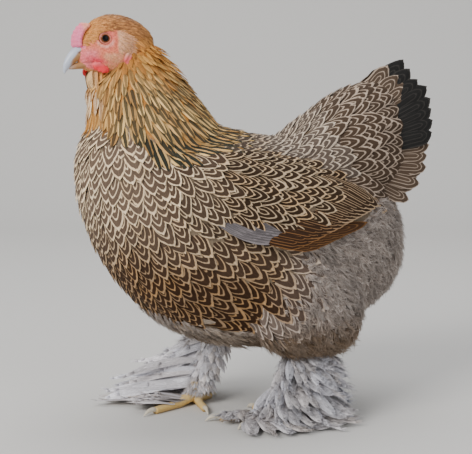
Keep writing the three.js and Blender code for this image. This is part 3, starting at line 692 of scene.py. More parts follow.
class Down:
    """Tufts of fine barbs gathered for one joined mesh."""

    def __init__(self, name):
        self.name = name
        self.tufts = []

    def add(self, root, way, normal, length, spread, barbs, half, rise, light, dark):
        """One tuft: barbs that leave its root along way, fan out and rise along normal."""
        self.tufts.append((root, unit(way), normal, length, spread, barbs, half, rise, light, dark))

    def build(self, unwrap, slot, material, seed):
        """The mesh: each barb is a three-sided sliver, and each tuft has its own patch for baking."""
        draw = np.random.default_rng(seed)
        columns = [np.array(column) for column in zip(*self.tufts)]
        roots, barbs = columns[0], columns[5]
        owner = np.repeat(np.arange(len(barbs)), barbs)
        total = len(owner)
        root, way, normal, length, spread, _, half, rise, light, dark = (c[owner] for c in columns)
        across = unit(np.cross(way, normal))
        length = length * draw.uniform(0.6, 1.1, total)
        fan, lift = draw.normal(0, 1, (2, total)) * spread
        side = across * fan[:, None]
        start = root + across * (draw.normal(0, 1, total) * 0.9)[:, None]
        early = unit(way + side * 0.5 + normal * (0.35 + 0.3 * np.abs(lift))[:, None])
        late = unit(way + side * 1.6 + normal * (rise - 0.25 * lift)[:, None])
        middle = start + early * (0.5 * length)[:, None]
        tip = middle + late * (0.5 * length)[:, None]
        twist = draw.uniform(0, 2 * math.pi, total)
        rings = []
        for at, size in ((start, 1.0), (middle, 0.85)):
            for k in range(3):
                turn = twist + k * 2 * math.pi / 3
                spoke = across * np.cos(turn)[:, None] + normal * np.sin(turn)[:, None]
                rings.append(at + spoke * (half * size)[:, None])
        points = np.stack([*rings, tip], axis=1).reshape(-1, 3)
        points[:, 2] = np.maximum(points[:, 2], FLOOR_GAP)
        shell = [(1, 0, 2)]
        for k in range(3):
            n = (k + 1) % 3
            shell += [(k, n, 3 + n), (k, 3 + n, 3 + k), (3 + k, 3 + n, 6)]
        obj = mesh_object(self.name, points, repeated(shell, total, 7))
        first = np.concatenate([[0], np.cumsum(barbs)[:-1]])
        number = np.arange(total) - first[owner]
        lane = (number[:, None] + 0.1 + 0.8 * BARB_ACROSS) / barbs[owner][:, None]
        patch = np.stack([lane, np.broadcast_to(BARB_ALONG, (total, 7))], axis=-1)
        lay_bake_map(obj.data, unwrap(roots), owner, patch, TUFT_PATCH)
        tone = draw.uniform(0, 1, total)[:, None, None]
        share = np.clip(np.maximum(BARB_ALONG, 0.1)[None, :, None] + 0.5 * (tone - 0.5), 0, 1)
        tint = dark[:, None] * (1 - share) + light[:, None] * share
        paint(obj, "tint", tint.reshape(-1, 3))
        finish_piece(obj, material, slot)


def free_cells(places, cells):
    """The nearest free cell of a square grid to each place, one place to a cell."""
    taken = np.zeros((cells, cells), bool)
    spots = np.zeros((len(places), 2))
    for i, (u, v) in enumerate(places * cells):
        a, b = int(u), int(v)
        for reach in range(cells):
            low_a, high_a = max(a - reach, 0), min(a + reach + 1, cells)
            low_b, high_b = max(b - reach, 0), min(b + reach + 1, cells)
            open_cells = np.argwhere(~taken[low_a:high_a, low_b:high_b])
            if len(open_cells):
                gaps = ((open_cells + [low_a, low_b] - [u, v]) ** 2).sum(1)
                spot = open_cells[gaps.argmin()] + [low_a, low_b]
                taken[tuple(spot)] = True
                spots[i] = spot
                break
    return spots


def finish_piece(obj, material, slot, *nodes):
    """The piece rides on the model's one body, takes a material and stands for the named solids; the slot is
    not used.
    """
    obj.data.materials.append(material)
    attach(obj, "root")
    if nodes:
        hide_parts(*nodes)


def lay(tree, root, way, length, lift, start=-1.2):
    """A feather's middle line, laid along a surface and rising from it towards the tip."""
    spine, normals = [], []
    place, normal, _, _ = tree.find_nearest(Vector(root))
    way = Vector(way)
    travelled = 0.0
    for share in ROWS:
        step = share * length - travelled
        if step > 0:
            way = (way - normal * way.dot(normal)).normalized()
            place, normal, _, _ = tree.find_nearest(place + way * step)
            travelled = share * length
        spine.append(place + normal * (start + (lift - start) * share**0.8))
        normals.append(normal)
    return np.array(spine), np.array(normals)


class Nodes:
    """A new material's nodes, made and linked by name."""

    def __init__(self, name):
        self.material = bpy.data.materials.new(name)
        self.material.use_nodes = True
        self.tree = self.material.node_tree
        self.shader = self.tree.nodes["Principled BSDF"]

    def feed(self, node, inputs):
        for key, value in inputs.items():
            if isinstance(value, bpy.types.NodeSocket):
                self.tree.links.new(value, node.inputs[key])
            else:
                node.inputs[key].default_value = value

    def make(self, kind, inputs=None, **settings):
        node = self.tree.nodes.new("ShaderNode" + kind)
        for key, value in settings.items():
            setattr(node, key, value)
        self.feed(node, inputs or {})
        return node

    def maths(self, operation, *values, clamp=False):
        node = self.make("Math", dict(enumerate(values)), operation=operation, use_clamp=clamp)
        return node.outputs[0]

    def linear(self, value, factor, offset):
        return self.maths("ADD", self.maths("MULTIPLY", value, factor), offset)

    def centred(self, value, factor):
        """A value from 0 to 1 as a swing about 0."""
        return self.maths("MULTIPLY", self.maths("SUBTRACT", value, 0.5), factor)

    def layer(self, name):
        return self.make("VertexColor", layer_name=name).outputs["Color"]

    def noise(self, spot, scale, detail):
        return self.make("TexNoise", {"Vector": spot, "Scale": scale, "Detail": detail}).outputs["Fac"]

    def finish(self, colour, level, height, strength, distance, roughness, shine):
        """A colour times a level of grey, with a bump, as the material's look."""
        grey = self.make("CombineColor", {k: level for k in ("Red", "Green", "Blue")}).outputs["Color"]
        shade = self.make("Mix", {0: 1.0, 6: colour, 7: grey}, data_type="RGBA", blend_type="MULTIPLY")
        look = {"Base Color": shade.outputs[2], "Roughness": roughness, "Specular IOR Level": shine}
        if strength:
            dent = self.make("Bump", {"Height": height, "Strength": strength, "Distance": distance})
            look["Normal"] = dent.outputs["Normal"]
        self.feed(self.shader, look)
        return self.material


def plain_material(name, roughness, bump=0.0, bump_scale=400.0, vary=0.12, shine=0.4, subsurface=0.0):
    """Takes its colour from the vertex colour named tint, with a fine mottle and bump."""
    nodes = Nodes(name)
    spot = nodes.make("TexCoord").outputs["Object"]
    noise = nodes.noise(spot, bump_scale, 4.0)
    level = nodes.make("MapRange", {"Value": noise, "To Min": 1 - vary, "To Max": 1 + vary})
    if subsurface:
        glow = {"Subsurface Weight": subsurface, "Subsurface Radius": (0.003, 0.001, 0.0006)}
        nodes.feed(nodes.shader, glow)
    return nodes.finish(nodes.layer("tint"), level.outputs["Result"], noise, bump, 0.001, roughness, shine)


# How dark a pencilled feather is from the middle of its bands, at 0, to its edge
BANDS = [
    (0.0, 1),
    (0.16, 1),
    (0.20, 0.15),
    (0.24, 0.15),
    (0.28, 1),
    (0.50, 1),
    (0.535, 0.05),
    (0.575, 0.05),
    (0.61, 1),
    (0.845, 1),
    (0.885, 0),
]
# The bands' bend: 1 would be straight-sided, 2 round
BAND_POWER = 1.68


def feather_material():
    """Pencilled bands that follow a feather's edge, or a dark stripe down its middle, as its marks say."""
    nodes = Nodes("plumage")
    maths = nodes.maths
    spot = nodes.make("UVMap", uv_map="Feather").outputs["UV"]
    split = nodes.make("SeparateXYZ", {0: spot})
    across = maths("ABSOLUTE", maths("MULTIPLY_ADD", split.outputs["X"], 2.0, -1.0))
    along = split.outputs["Y"]
    mark = nodes.make("SeparateColor", {0: nodes.layer("marks")})
    stripe, contrast, chance = (mark.outputs[k] for k in ("Red", "Green", "Blue"))
    own = maths("MULTIPLY", chance, 40.0)
    seat = nodes.make("CombineXYZ", {"X": across, "Y": along, "Z": own}).outputs[0]
    wobble = nodes.noise(seat, 5.0, 3.0)
    fleck = nodes.noise(seat, 26.0, 3.0)

    # Bands
    reach = maths("MAXIMUM", maths("DIVIDE", maths("SUBTRACT", along, BANDS_FROM), 1 - BANDS_FROM), 0.0)
    bent = maths("ADD", maths("POWER", across, BAND_POWER), maths("POWER", reach, BAND_POWER))
    wave = maths("ADD", maths("POWER", bent, 1 / BAND_POWER), nodes.centred(wobble, 0.11))
    wave = maths("ADD", wave, nodes.centred(chance, 0.07))
    ramp = nodes.make("ValToRGB", {"Fac": wave})
    elements = ramp.color_ramp.elements
    while len(elements) < len(BANDS):
        elements.new(0.5)
    for element, (at, level) in zip(elements, BANDS):
        element.position = at
        element.color = (level, level, level, 1)

    # Stripe
    lance = maths("ADD", maths("MULTIPLY", across, 1.9), maths("MULTIPLY", maths("POWER", along, 3.0), 0.52))
    lance = maths("ADD", lance, maths("MULTIPLY", wobble, 0.3))
    centre = nodes.make("MapRange", {"Value": lance, "From Min": 1.20, "From Max": 1.02}).outputs["Result"]
    mask = nodes.make("Mix", {0: stripe, 2: ramp.outputs["Color"], 3: centre}, data_type="FLOAT")
    share = maths("MULTIPLY", mask.outputs[0], contrast, clamp=True)
    light, dark = nodes.layer("light"), nodes.layer("dark")
    blend = nodes.make("Mix", {0: share, 6: light, 7: dark}, data_type="RGBA")

    # Barbs, shaft and flecks, stronger where there are few bands
    slant = maths("ADD", maths("MULTIPLY", along, 2.2), maths("MULTIPLY", across, -1.0))
    barb_seat = nodes.make("CombineXYZ", {"X": slant, "Y": maths("MULTIPLY", chance, 9.0)}).outputs[0]
    barb_look = {"Vector": barb_seat, "Scale": 9.0, "Distortion": 2.2, "Detail": 2.0, "Detail Scale": 2.0}
    barbs = nodes.make("TexWave", barb_look).outputs["Fac"]
    shaft_look = {"Value": across, "From Min": 0.0, "From Max": 0.06, "To Min": 1.25, "To Max": 1.0}
    shaft = nodes.make("MapRange", shaft_look).outputs["Result"]
    plain = maths("SUBTRACT", 1.35, contrast)
    level = maths("ADD", nodes.centred(barbs, nodes.linear(plain, 0.35, 0.14)), 0.97)
    level = maths("MULTIPLY", level, nodes.linear(wobble, 0.4, 0.8))
    level = maths("MULTIPLY", level, maths("ADD", nodes.centred(fleck, maths("MULTIPLY", plain, 2.0)), 1.0))
    level = maths("MULTIPLY", level, shaft)
    return nodes.finish(blend.outputs[2], level, barbs, 0.35, 0.0004, 0.7, 0.12)


PLUMAGE = feather_material()
SKIN = plain_material("skin", 0.6, bump=1.0, bump_scale=700, vary=0.6, shine=0.25, subsurface=0.06)
COMB = plain_material("comb_skin", 0.45, bump=0.5, bump_scale=1300, vary=0.3, subsurface=0.08)
HORN = plain_material("horn", 0.3, bump=0.08, bump_scale=500, vary=0.1)
SCALE = plain_material("scale", 0.42, bump=0.25, bump_scale=900, vary=0.14)
DOWN = plain_material("down", 0.85, vary=0.18, bump_scale=700, shine=0.05)
EYE = plain_material("eye", 0.05, vary=0.1, bump_scale=1500, shine=0.16)

# Which plumage grows at a place on the body
WING_ROWS = FINE[id(WING)]


def in_wing(places):
    """Whether each place lies on the folded wing."""
    x, y, z = places.T
    low = np.interp(x, WING_ROWS[:, 0], WING_ROWS[:, 1])
    high = np.interp(x, WING_ROWS[:, 0], WING_ROWS[:, 2])
    return (x > WING[0][0]) & (x < WING[-1][0]) & (z > low) & (z < high) & (np.abs(y) > 60)


def region(places):
    """Names the plumage at each place: hackle, breast, wing, back, tail, thigh, fluff or belly."""
    x, y, z = places.T
    names = np.full(len(places), "breast", dtype=object)
    names[(z > 300) & (x > -70)] = "back"
    along, height = (places - TAIL_ROOT) @ TAIL_AXIS, (places - TAIL_ROOT) @ TAIL_UP
    names[(x > 60) & (z > 262 + 0.18 * (x - 60))] = "back"
    names[(along > 34) & (height > -70) & (x > 78) & (z > 258)] = "tail"
    soft_front = np.interp(z, [60, 110, 150, 178, 216, 262], [30, 26, 50, 46, 36, 60])
    names[(x > soft_front - 60) & (z < 150) & (z > 80)] = "thigh"
    names[(x > soft_front) & (z < 250)] = "fluff"
    names[(x > -24) & (z < 108 - 0.2 * x)] = "fluff"
    names[(z < 118 - 0.30 * (x + 60)) & (np.abs(y) < 70) & (x < 20)] = "belly"
    names[in_wing(places)] = "wing"
    base = np.interp(x, [-175, -150, -125, -100, -60, -28, -10], [352, 346, 330, 312, 312, 330, 345])
    names[(z > base) & (x < -10)] = "hackle"
    return names


# Plumage by name: spacing, length, half-width, outline and lift
PLUMAGE_SIZES = {
    "hackle": (7.2, 44, 5.4, "point", 3.4),
    "breast": (9.3, 34, 9.8, "round", 4.4),
    "back": (8.4, 32, 8.8, "round", 4.4),
    "wing": (9.3, 33, 9.3, "round", 4.6),
    "tail": (9.5, 39, 10.6, "round", 5.4),
    "thigh": (10.4, 37, 10.6, "round", 5.6),
    "fluff": (9.0, 24, 5.6, "wisp", 4.0),
    "belly": (7.0, 25, 5.4, "wisp", 5.0),
}


def body_spacing(places):
    """The plumage's spacing, closer up the neck, wider on the flank and none where the head begins."""
    names = region(places)
    spacing = np.array([PLUMAGE_SIZES[name][0] for name in names])
    neck = names == "hackle"
    spacing[neck] = np.interp(places[neck, 2], [320, 430], [PLUMAGE_SIZES["hackle"][0], 3.2])
    spacing[places[:, 2] > 424] = 0
    flank = names == "breast"
    spacing[flank] *= flank_growth(places[flank])
    return spacing


def flank_growth(places):
    """How much larger the feathers of the flank are than those of the breast's front."""
    return 1 + 0.18 * smooth_step(-130, -60, places[..., 0])


def hock_share(place):
    """How brown the down is, from the grey rear to the foot of the thigh."""
    return smooth_step(142, 104, place[2]) * smooth_step(-20, 10, place[0])


def drift(place):
    """Slow change of tone over the down."""
    x, _, z = place
    along = math.sin(0.09 * x + 2 * math.sin(0.06 * z))
    return 1 + 0.17 * along * math.sin(0.11 * z + 1.4 * math.sin(0.05 * x))


def plumage_at(name, place, draw):
    """Size, outline, colours, stripe, contrast and lift of the feather that grows at a place."""
    _, length, half, outline, lift = PLUMAGE_SIZES[name]
    x, y, z = place
    stripe, contrast = 0.0, 1.0
    size = draw.uniform(0.9, 1.12)
    if name == "hackle":
        lift += 2.6 * (smooth_step(385, 412, z) * smooth_step(-135, -105, x))
        grown = np.interp(z, [330, 425], [1.0, 0.34])
        length, half = length * grown, half * grown
        stripe = 1.0
        back = smooth_step(-172, -128, x + 0.3 * abs(y))
        low = smooth_step(418, 380, z)
        base = smooth_step(362, 328, z)
        contrast = (0.84 + 0.15 * base) * back * low + 0.6 * low * (1 - back)
        light = mix(GOLD, HACKLE_LIGHT, back * low)
        deep = draw.random() ** 1.4 * (1 - 0.35 * low)
        light = mix(light, GOLD_DEEP, deep) * draw.uniform(0.62, 1.1)
        light = mix(light, CREAM, smooth_step(-152, -164, x) * smooth_step(360, 376, z))
        dark = mix(GOLD_DEEP, HACKLE_DARK, back)
    elif name == "breast":
        grown = flank_growth(place)
        length, half = length * grown, half * grown
        # Darker lower down and further back on the flank: partly the feathers' own colour, partly painted
        # shade
        low = smooth_step(285, 185, z + 0.12 * (x + 150))
        low = max(low, 0.65 * smooth_step(-115, -45, x))
        front = smooth_step(-145, -176, x)
        light = mix(mix(BREAST_LIGHT, LOW_LIGHT, low), CREAM, 0.35 * front * (1 - low))
        dark = mix(BREAST_DARK, LOW_DARK, max(low, 0.75 * smooth_step(-140, -85, x)))
        gold = draw.random() ** 2 * 0.5 * (1 - front)
        light = mix(light, GOLD, gold * 0.45)
        rear = smooth_step(-15, 45, x) * smooth_step(265, 205, z)
        light, dark = mix(light, FLUFF_LIGHT, 0.6 * rear), mix(dark, FLUFF_DARK, 0.35 * rear)
    elif name in ("back", "wing"):
        light, dark = np.array(WING_LIGHT), np.array(WING_DARK)
        light = mix(light, GOLD, draw.random() ** 2 * 0.3)
        if name == "back":
            grey = smooth_step(-40, 20, x)
            light, dark = mix(light, SADDLE_LIGHT, 0.8 * grey), mix(dark, SADDLE_DARK, 0.3 + 0.4 * grey)
        else:
            shoulder = smooth_step(-40, -85, x)
            light, dark = mix(light, BREAST_LIGHT, 0.5 * shoulder), mix(dark, BREAST_DARK, 0.4 * shoulder)
    elif name == "tail":
        rim = smooth_step(120, 158, (place - TAIL_ROOT) @ TAIL_AXIS)
        low = smooth_step(0, -60, (place - TAIL_ROOT) @ TAIL_UP)
        light, dark = mix(TAIL_LIGHT, FLUFF_LIGHT, 0.4 * rim), mix(TAIL_DARK, FLUFF_DARK, 0.3 * rim)
        light = light * (1 - 0.3 * low)
        contrast = 1.0 - 0.25 * rim
        length *= 1 + 0.12 * rim
    elif name == "thigh":
        light, dark = mix(LOW_LIGHT, FLUFF_LIGHT, 0.6), mix(LOW_DARK, FLUFF_DARK, 0.5)
        rear = smooth_step(60, 95, x)
        light, dark = mix(light, FLUFF_LIGHT, rear), mix(dark, FLUFF_DARK, 0.7 * rear)
    elif name == "fluff":
        light, dark = np.array(FLUFF_LIGHT), np.array(FLUFF_DARK)
        tone = draw.uniform(0.72, 1.15) * drift(place)
        brown = hock_share(place) * draw.uniform(0.4, 1)
        light, dark = mix(light * tone, HOCK_LIGHT, brown), mix(dark * tone, HOCK_DARK, brown)
        contrast = 0.75
    else:
        tone = draw.uniform(0.8, 1.15)
        light, dark = np.array(BELLY_LIGHT) * tone, np.array(BELLY_DARK) * tone
        contrast = 0.5
    tone = draw.uniform(0.9, 1.1)
    return length * size, half * size, outline, light * tone, dark * tone, stripe, contrast, lift


def turned(way, normal, angle):
    """way turned about normal by an angle."""
    return way * math.cos(angle) + np.cross(normal, way) * math.sin(angle)


def body_unwrap(places):
    """Round the body's long axis and along it."""
    angle = np.arctan2(places[:, 1], places[:, 2] - 225) / (2 * math.pi) + 0.5
    return np.stack([(places[:, 0] + 190) / 440, angle], axis=1)


def neck_unwrap(places):
    """Round the neck's upright axis and up it."""
    angle = np.arctan2(places[:, 1], places[:, 0] + 112) / (2 * math.pi) + 0.5
    return np.stack([angle, (places[:, 2] - 300) / 160], axis=1)


def side_unwrap(places):
    """The two sides of a standing fan beside each other."""
    x = (places[:, 0] - places[:, 0].min()) / (np.ptp(places[:, 0]) + 1)
    z = (places[:, 2] - places[:, 2].min()) / (np.ptp(places[:, 2]) + 1)
    return np.stack([0.5 * x + 0.5 * (places[:, 1] > 0), z], axis=1)


def head_unwrap(places):
    """Round the head's long axis and along it."""
    here = to_head(places)
    angle = np.arctan2(here[:, 1], here[:, 2] - 420) / (2 * math.pi) + 0.5
    return np.stack([(here[:, 0] + 24) / 92, angle], axis=1)


# The coat pieces of the body: how they unwrap and the name of a finish's slot for each
COAT_PIECES = {
    "hackle": (neck_unwrap, "hackle"),
    "breast": (body_unwrap, "breast"),
    "back": (body_unwrap, "wing"),
    "wing": (side_unwrap, "wing"),
    "tail": (body_unwrap, "tail"),
    "thigh": (body_unwrap, "fluff"),
    "fluff": (body_unwrap, "fluff"),
    "belly": (body_unwrap, "fluff"),
}
WISPY = ("fluff", "belly")
coats = {name: Coat(f"coat_{name}", strips=2 if name in WISPY else 4) for name in COAT_PIECES}

tries = 90000
DOWN_AND_BACK = np.array([0.4, 0, -0.9])
LAYERED = ("breast", "back", "wing", "tail", "thigh")
# The wing's small feathers end past the long ones' roots: a place on that line, the way across it and how far
ROOTS_AT, ROOTS_ACROSS, ROOTS_PAST = np.array([-30, 236]), np.array([0.523, -0.852]), 34


def along_coat(way, normal):
    """The lie of the coat drawn onto the surface, or down and back where the two are square."""
    way = way - normal * (way @ normal)
    if np.linalg.norm(way) < 0.15:
        way = DOWN_AND_BACK - normal * (DOWN_AND_BACK @ normal)
    return unit(way)


def grow_layer(seed, under):
    """One layer of body feathers; the one under it only closes the gaps between them."""
    surface = (body_points, body_triangles)
    places, normals = scatter(*surface, body_spacing, tries, seed, flow_at, 1.38)
    for place, normal, way, name in zip(places, normals, flow_at(places), region(places)):
        past_roots = (place[[0, 2]] - ROOTS_AT) @ ROOTS_ACROSS
        if (name == "wing" and past_roots > ROOTS_PAST) or (under and name not in LAYERED):
            continue
        length, half, outline, light, dark, stripe, contrast, lift = plumage_at(name, place, rng)
        loose = 0.32 if name in WISPY else 0.09
        way = turned(along_coat(way, normal), normal, rng.normal(0, loose))
        lift, start = (0.9, -1.6) if under else (lift * rng.uniform(0.8, 1.15), -1.2)
        spine, lay_normals = lay(body_tree, place, way, length, lift, start)
        coats[name].add(spine, lay_normals, half, outline, light, dark, stripe, contrast)


grow_layer(3, False)
grow_layer(4, True)


# Loose down among the feathers of the thighs, rear and belly
def down_spacing(places):
    """How far apart tufts of down stand at each place, or 0 for none."""
    kinds = region(places)
    rear_thigh = (kinds == "thigh") & (places[:, 0] > 20)
    spacing = np.select([kinds == "fluff", kinds == "belly", rear_thigh], [3.6, 4.2, 8.0], 0.0)
    return np.where(places[:, 2] > 300, 0, spacing)


down = {"rear": Down("down_rear"), "low": Down("down_low")}
tries = 60000
places, normals = scatter(body_points, body_triangles, down_spacing, tries, 7, flow_at, 1.2)
for place, normal, way in zip(places, normals, flow_at(places)):
    way = turned(along_coat(way, normal), normal, rng.normal(0, 0.45))
    kind = region(place[None])[0]
    under = smooth_step(125, 95, place[2])
    tone = rng.uniform(0.7, 1.2) * drift(place)
    light, dark = mix(FLUFF_LIGHT, BELLY_LIGHT, under) * tone, mix(FLUFF_DARK, BELLY_DARK, under) * tone
    hock = hock_share(place) * rng.uniform(0.3, 1)
    light, dark = mix(light, HOCK_LIGHT, hock), mix(dark, HOCK_DARK, hock)
    barbs, rise = (9, 0.30) if kind == "fluff" else (6, 0.22)
    name = "low" if place[2] < 130 else "rear"
    reach = rng.uniform(11, 19) * (1 + 0.5 * smooth_step(112, 96, place[2]))
    down[name].add(place + normal * 1.5, way, normal, reach, 0.42, barbs, 0.42, rise, light, dark)
down["rear"].build(body_unwrap, "fluff", DOWN, 51)
down["low"].build(body_unwrap, "fluff", DOWN, 52)


# Flight feathers, as in the solids but more of them and finer
def wing_place(side, x, z, lift):
    """A place above the body's side, and the way out from it."""
    at = np.array([x, side * (torso_side(x, z) + lift), z])
    step = 2.0
    slope_x = (torso_side(x + step, z) - torso_side(x - step, z)) / (2 * step)
    slope_z = (torso_side(x, z + step) - torso_side(x, z - step)) / (2 * step)
    return at, unit(np.array([-slope_x, side, -slope_z]))


def bowed(start, middle, end, rows=ROWS):
    """Places on a curve through three points."""
    t = rows[:, None]
    control = 2 * middle - (start + end) / 2
    return (1 - t) ** 2 * start + 2 * t * (1 - t) * control + t**2 * end


def wing_feather(coat, side, start, end, sag, lifts, look, roll=0.12):
    """One long feather of the wing between two places, with half-width, outline, colours and contrast."""
    half, outline, light, dark, contrast = look
    middle = [(start[0] + end[0]) / 2, (start[1] + end[1]) / 2 - sag]
    spots = [wing_place(side, *xz, lift) for xz, lift in zip((start, middle, end), lifts)]
    spine = bowed(*(spot[0] for spot in spots), rows_of(outline))
    normal = unit(bowed(*(spot[1] for spot in spots), rows_of(outline)))
    along = unit(np.gradient(spine, axis=0))
    normal = unit(normal + roll * side * np.cross(along, normal))
    coat.add(spine, normal, half, outline, light, dark, 0.0, contrast, camber=0.15)


def lerp(a, b, t):
    """From a to b by t."""
    return np.asarray(a) * (1 - t) + np.asarray(b) * t


flight = Coat("coat_flight")
for side in (-1, 1):
    for k in range(6):
        t = k / 5
        start, end = lerp([-60, 240], [-36, 248], t), lerp([6, 212], [30, 222], t)
        grey = np.array(FLIGHT_GREY) * rng.uniform(0.7, 1.15)
        wing_feather(flight, side, start, end, 5, [5, 8.4, 7.2], (4.4, "long", grey, grey * 0.35, 0.75))
    for k in range(6):
        t = k / 5
        start, end = lerp([-16, 224], [4, 232], t), lerp([66, 208], [122, 228], t)
        rust = np.array(RUST_LIGHT) * rng.uniform(0.6, 0.9)
        wing_feather(flight, side, start, end, 7, [5, 8.6, 5.6], (6.2, "blunt", rust, RUST_DARK, 0.9))
    for k in range(15):
        t = k / 14
        start, end = lerp([-22, 230], [80, 278], t), lerp([46, 212], [139, 244], t**0.85)
        light = mix(RUST_LIGHT, WING_LIGHT, 0.7 * smooth_step(0.1, 0.8, t)) * rng.uniform(0.75, 1.2)
        look = (8.0, "blunt", light, mix(RUST_DARK, WING_DARK, t), 1.0)
        wing_feather(flight, side, start, end, 6 - 9 * t, [1.5, 9.5, 8.2], look)
flight.build(side_unwrap, "wing", PLUMAGE)

# The tail's fan
FAN_PIVOT = np.array([98.0, 0, 296.0])
# Tiers from the outermost in: number of feathers, highest and lowest angle, spread to the side, reach from
# the pivot at top, middle and foot, reach of the roots, half-width, and whether they are dark main feathers
FAN_TIERS = [
    (8, 46, 12, 36, (154, 152, 132), 70, 12, True),
    (7, 40, 12, 24, (147, 145, 127), 66, 11.5, True),
    (11, 50, -6, 43, (137, 134, 121), 64, 10.5, False),
    (11, 51, -16, 47, (124, 122, 113), 54, 10.5, False),
    (11, 51, -28, 50, (110, 110, 106), 46, 10, False),
    (11, 52, -36, 48, (95, 97, 100), 40, 9.5, False),
    (6, -14, -42, 30, (112, 108, 101), 50, 10, False),
]
fan = Coat("coat_fan")
for side in (-1, 1):
    for count, high, low, spread, reaches, inner, half, is_dark in FAN_TIERS:
        last = count - 1
        for k in range(count):
            t = (k + (rng.uniform(-0.15, 0.15) if 0 < k < last else 0)) / last
            angle = math.radians(high + (low - high) * t)
            way = np.array([math.cos(angle), 0, math.sin(angle)])
            reach = np.interp(t, [0, 0.5, 1], reaches) * rng.uniform(0.975, 1.01)
            out = 5 + spread * max(t, 0) ** 0.8
            spots = []
            for share, far in ((0, inner), (0.5, (inner + reach) / 2), (1, reach)):
                spot = FAN_PIVOT + way * far
                spot[1] = side * (out * 0.75 + 3 + (out * 0.25 - 3) * share + (4 if share == 0.5 else 0))
                spots.append(spot)
            spine = bowed(*spots, TIP_ROWS)
            normal = unit(np.array([-math.sin(angle) * 0.4, side, math.cos(angle) * 0.4]))
            normals = np.repeat([normal], len(ROWS), axis=0)
            light, dark, contrast = BLACK_LIGHT, BLACK_DARK, 0.8
            if not is_dark:
                light = np.array(TAIL_LIGHT) * rng.uniform(0.8, 1.05) * (1 - 0.2 * t)
                dark, contrast = TAIL_DARK, 0.95
            fan.add(spine, normals, half, "blunt", light, dark, 0.0, contrast, camber=0.14)
fan.build(side_unwrap, "tail", PLUMAGE)


# Feathers of the shanks and feet
def heading(side, turn):
    """The level way at a turn outward from straight ahead, in degrees."""
    angle = math.radians(turn)
    return np.array([-math.cos(angle), side * math.sin(angle), 0.0])


# Rows down each shank: share of its length, then first and last turn, length and height of the tip
SHANK_ROWS = {
    -1: [
        (0.02, (60, 168), (34, 54), (66, 60)),
        (0.16, (50, 166), (44, 64), (54, 49)),
        (0.32, (36, 165), (48, 72), (42, 37)),
        (0.50, (28, 163), (50, 78), (29, 25)),
        (0.66, (22, 160), (50, 84), (18, 15)),
        (0.80, (18, 156), (46, 88), (9, 8)),
    ],
    1: [
        (0.02, (6, 126), (44, 40), (68, 62)),
        (0.16, (8, 126), (62, 46), (52, 50)),
        (0.32, (9, 126), (82, 50), (40, 40)),
        (0.50, (10, 125), (102, 53), (30, 29)),
        (0.66, (12, 124), (118, 55), (20, 18)),
        (0.80, (14, 122), (118, 56), (11, 9)),
    ],
}
# Fans along the toes: toe, span of it, number, first and last turn and length, height of the tips
FOOT_FANS = {
    -1: [
        ("outer", (0.05, 0.85), 26, (154, 60), (108, 40), 2.2),
        ("middle", (0.2, 0.7), 14, (66, 16), (42, 26), 5.0),
    ],
    1: [
        ("outer", (0.05, 0.85), 26, (120, 12), (62, 88), 2.2),
        ("middle", (0.2, 0.7), 16, (30, 2), (70, 42), 8.0),
    ],
}


def leg_feather(side, root, turn, length, rise, tip, half, lie, light, dark, contrast=0.35):
    """One vane that leaves the leg at a turn from straight ahead and bows down to its tip's height."""
    way = heading(side, turn)
    end = root + way * length
    end[2] = tip
    bow = np.cross(Z, way) * rng.normal(0, 0.05 * length)
    spine = bowed(root - way * 3, (root + end) / 2 + bow + [0, 0, rise], end)
    lean = math.radians(lie)
    normal = np.array([0, side * math.sin(lean), math.cos(lean)])
    along = unit(np.gradient(spine, axis=0))
    normal = unit(normal - along * (along @ normal)[:, None])
    outline = "round" if rng.random() < 0.5 else "long"
    legs_coat.add(spine, normal, half, outline, light, dark, 0.0, contrast, camber=0.25)
    for row in (2, 4, 5):
        foot = spine[row] + normal[row] * 0.4
        reach = rng.uniform(8, 15)
        leg_down.add(foot, along[row], normal[row], reach, 0.42, 7, 0.32, 0.1, light * 1.1, light * 0.72)


def foot_colours(side, greys, tones):
    """Light and dark of a foot's feather, a random share greyer, and brighter on the right by painted light.
    """
    # Painted light: the right foot's feathers are 1.35 times as bright
    grey, tone = rng.uniform(*greys), (1.0 if side < 0 else 1.35) * rng.uniform(*tones)
    return mix(FOOT_LIGHT, FLUFF_LIGHT, grey) * tone, mix(FOOT_DARK, FLUFF_DARK, 0.6 * grey) * tone


def shank_rows(side, leg):
    """Long vanes in rows down the shank's outer side."""
    for down, turns, lengths, tips in SHANK_ROWS[side]:
        for k in range(20):
            t = (k + rng.uniform(-0.5, 0.5)) / 19
            share = down + rng.uniform(-0.07, 0.07)
            root = lerp(leg["hock"], leg["ball"], share) + [0, side * 2, 2 - 5 * t]
            turn = lerp(*turns, t) + rng.normal(0, 5)
            length = lerp(*lengths, t) * rng.uniform(0.72, 1.05)
            tip = max(lerp(*tips, t) + rng.normal(0, 4), 2.5)
            colours = foot_colours(side, (0, 0.6), (0.7, 1.15))
            lie = rng.uniform(48, 74) if side < 0 or turn > 60 else rng.uniform(-62, -30)
            rise, half = rng.uniform(0, 7), rng.uniform(3.6, 7.5)
            leg_feather(side, root, turn, length, rise, tip, half, lie, *colours)


def toe_fans(side, leg):
    """Vanes that stand out from the outer and middle toes."""
    for name, span, count, turns, lengths, tip_height in FOOT_FANS[side]:
        toe = TOES[name]
        along = heading(side, leg["turn"] + toe["turn"])
        for k in range(count):
            t = (k + 0.5) / count
            root = leg["ball"] + along * toe["length"] * lerp(*span, t)
            root[2] = toe["base"] * 1.2 + 2 - 1.6 * t
            turn = lerp(*turns, t) + rng.normal(0, 6)
            length = lerp(*lengths, t) * rng.uniform(0.75, 1.0)
            colours = foot_colours(side, (0.2, 0.9), (0.7, 1.1))
            rise, tip = rng.uniform(1.5, 5), tip_height + rng.uniform(0, 4)
            half, lie = rng.uniform(5, 9), rng.uniform(4, 26)
            leg_feather(side, root, turn, length, rise, tip, half, lie, *colours, 0.6)


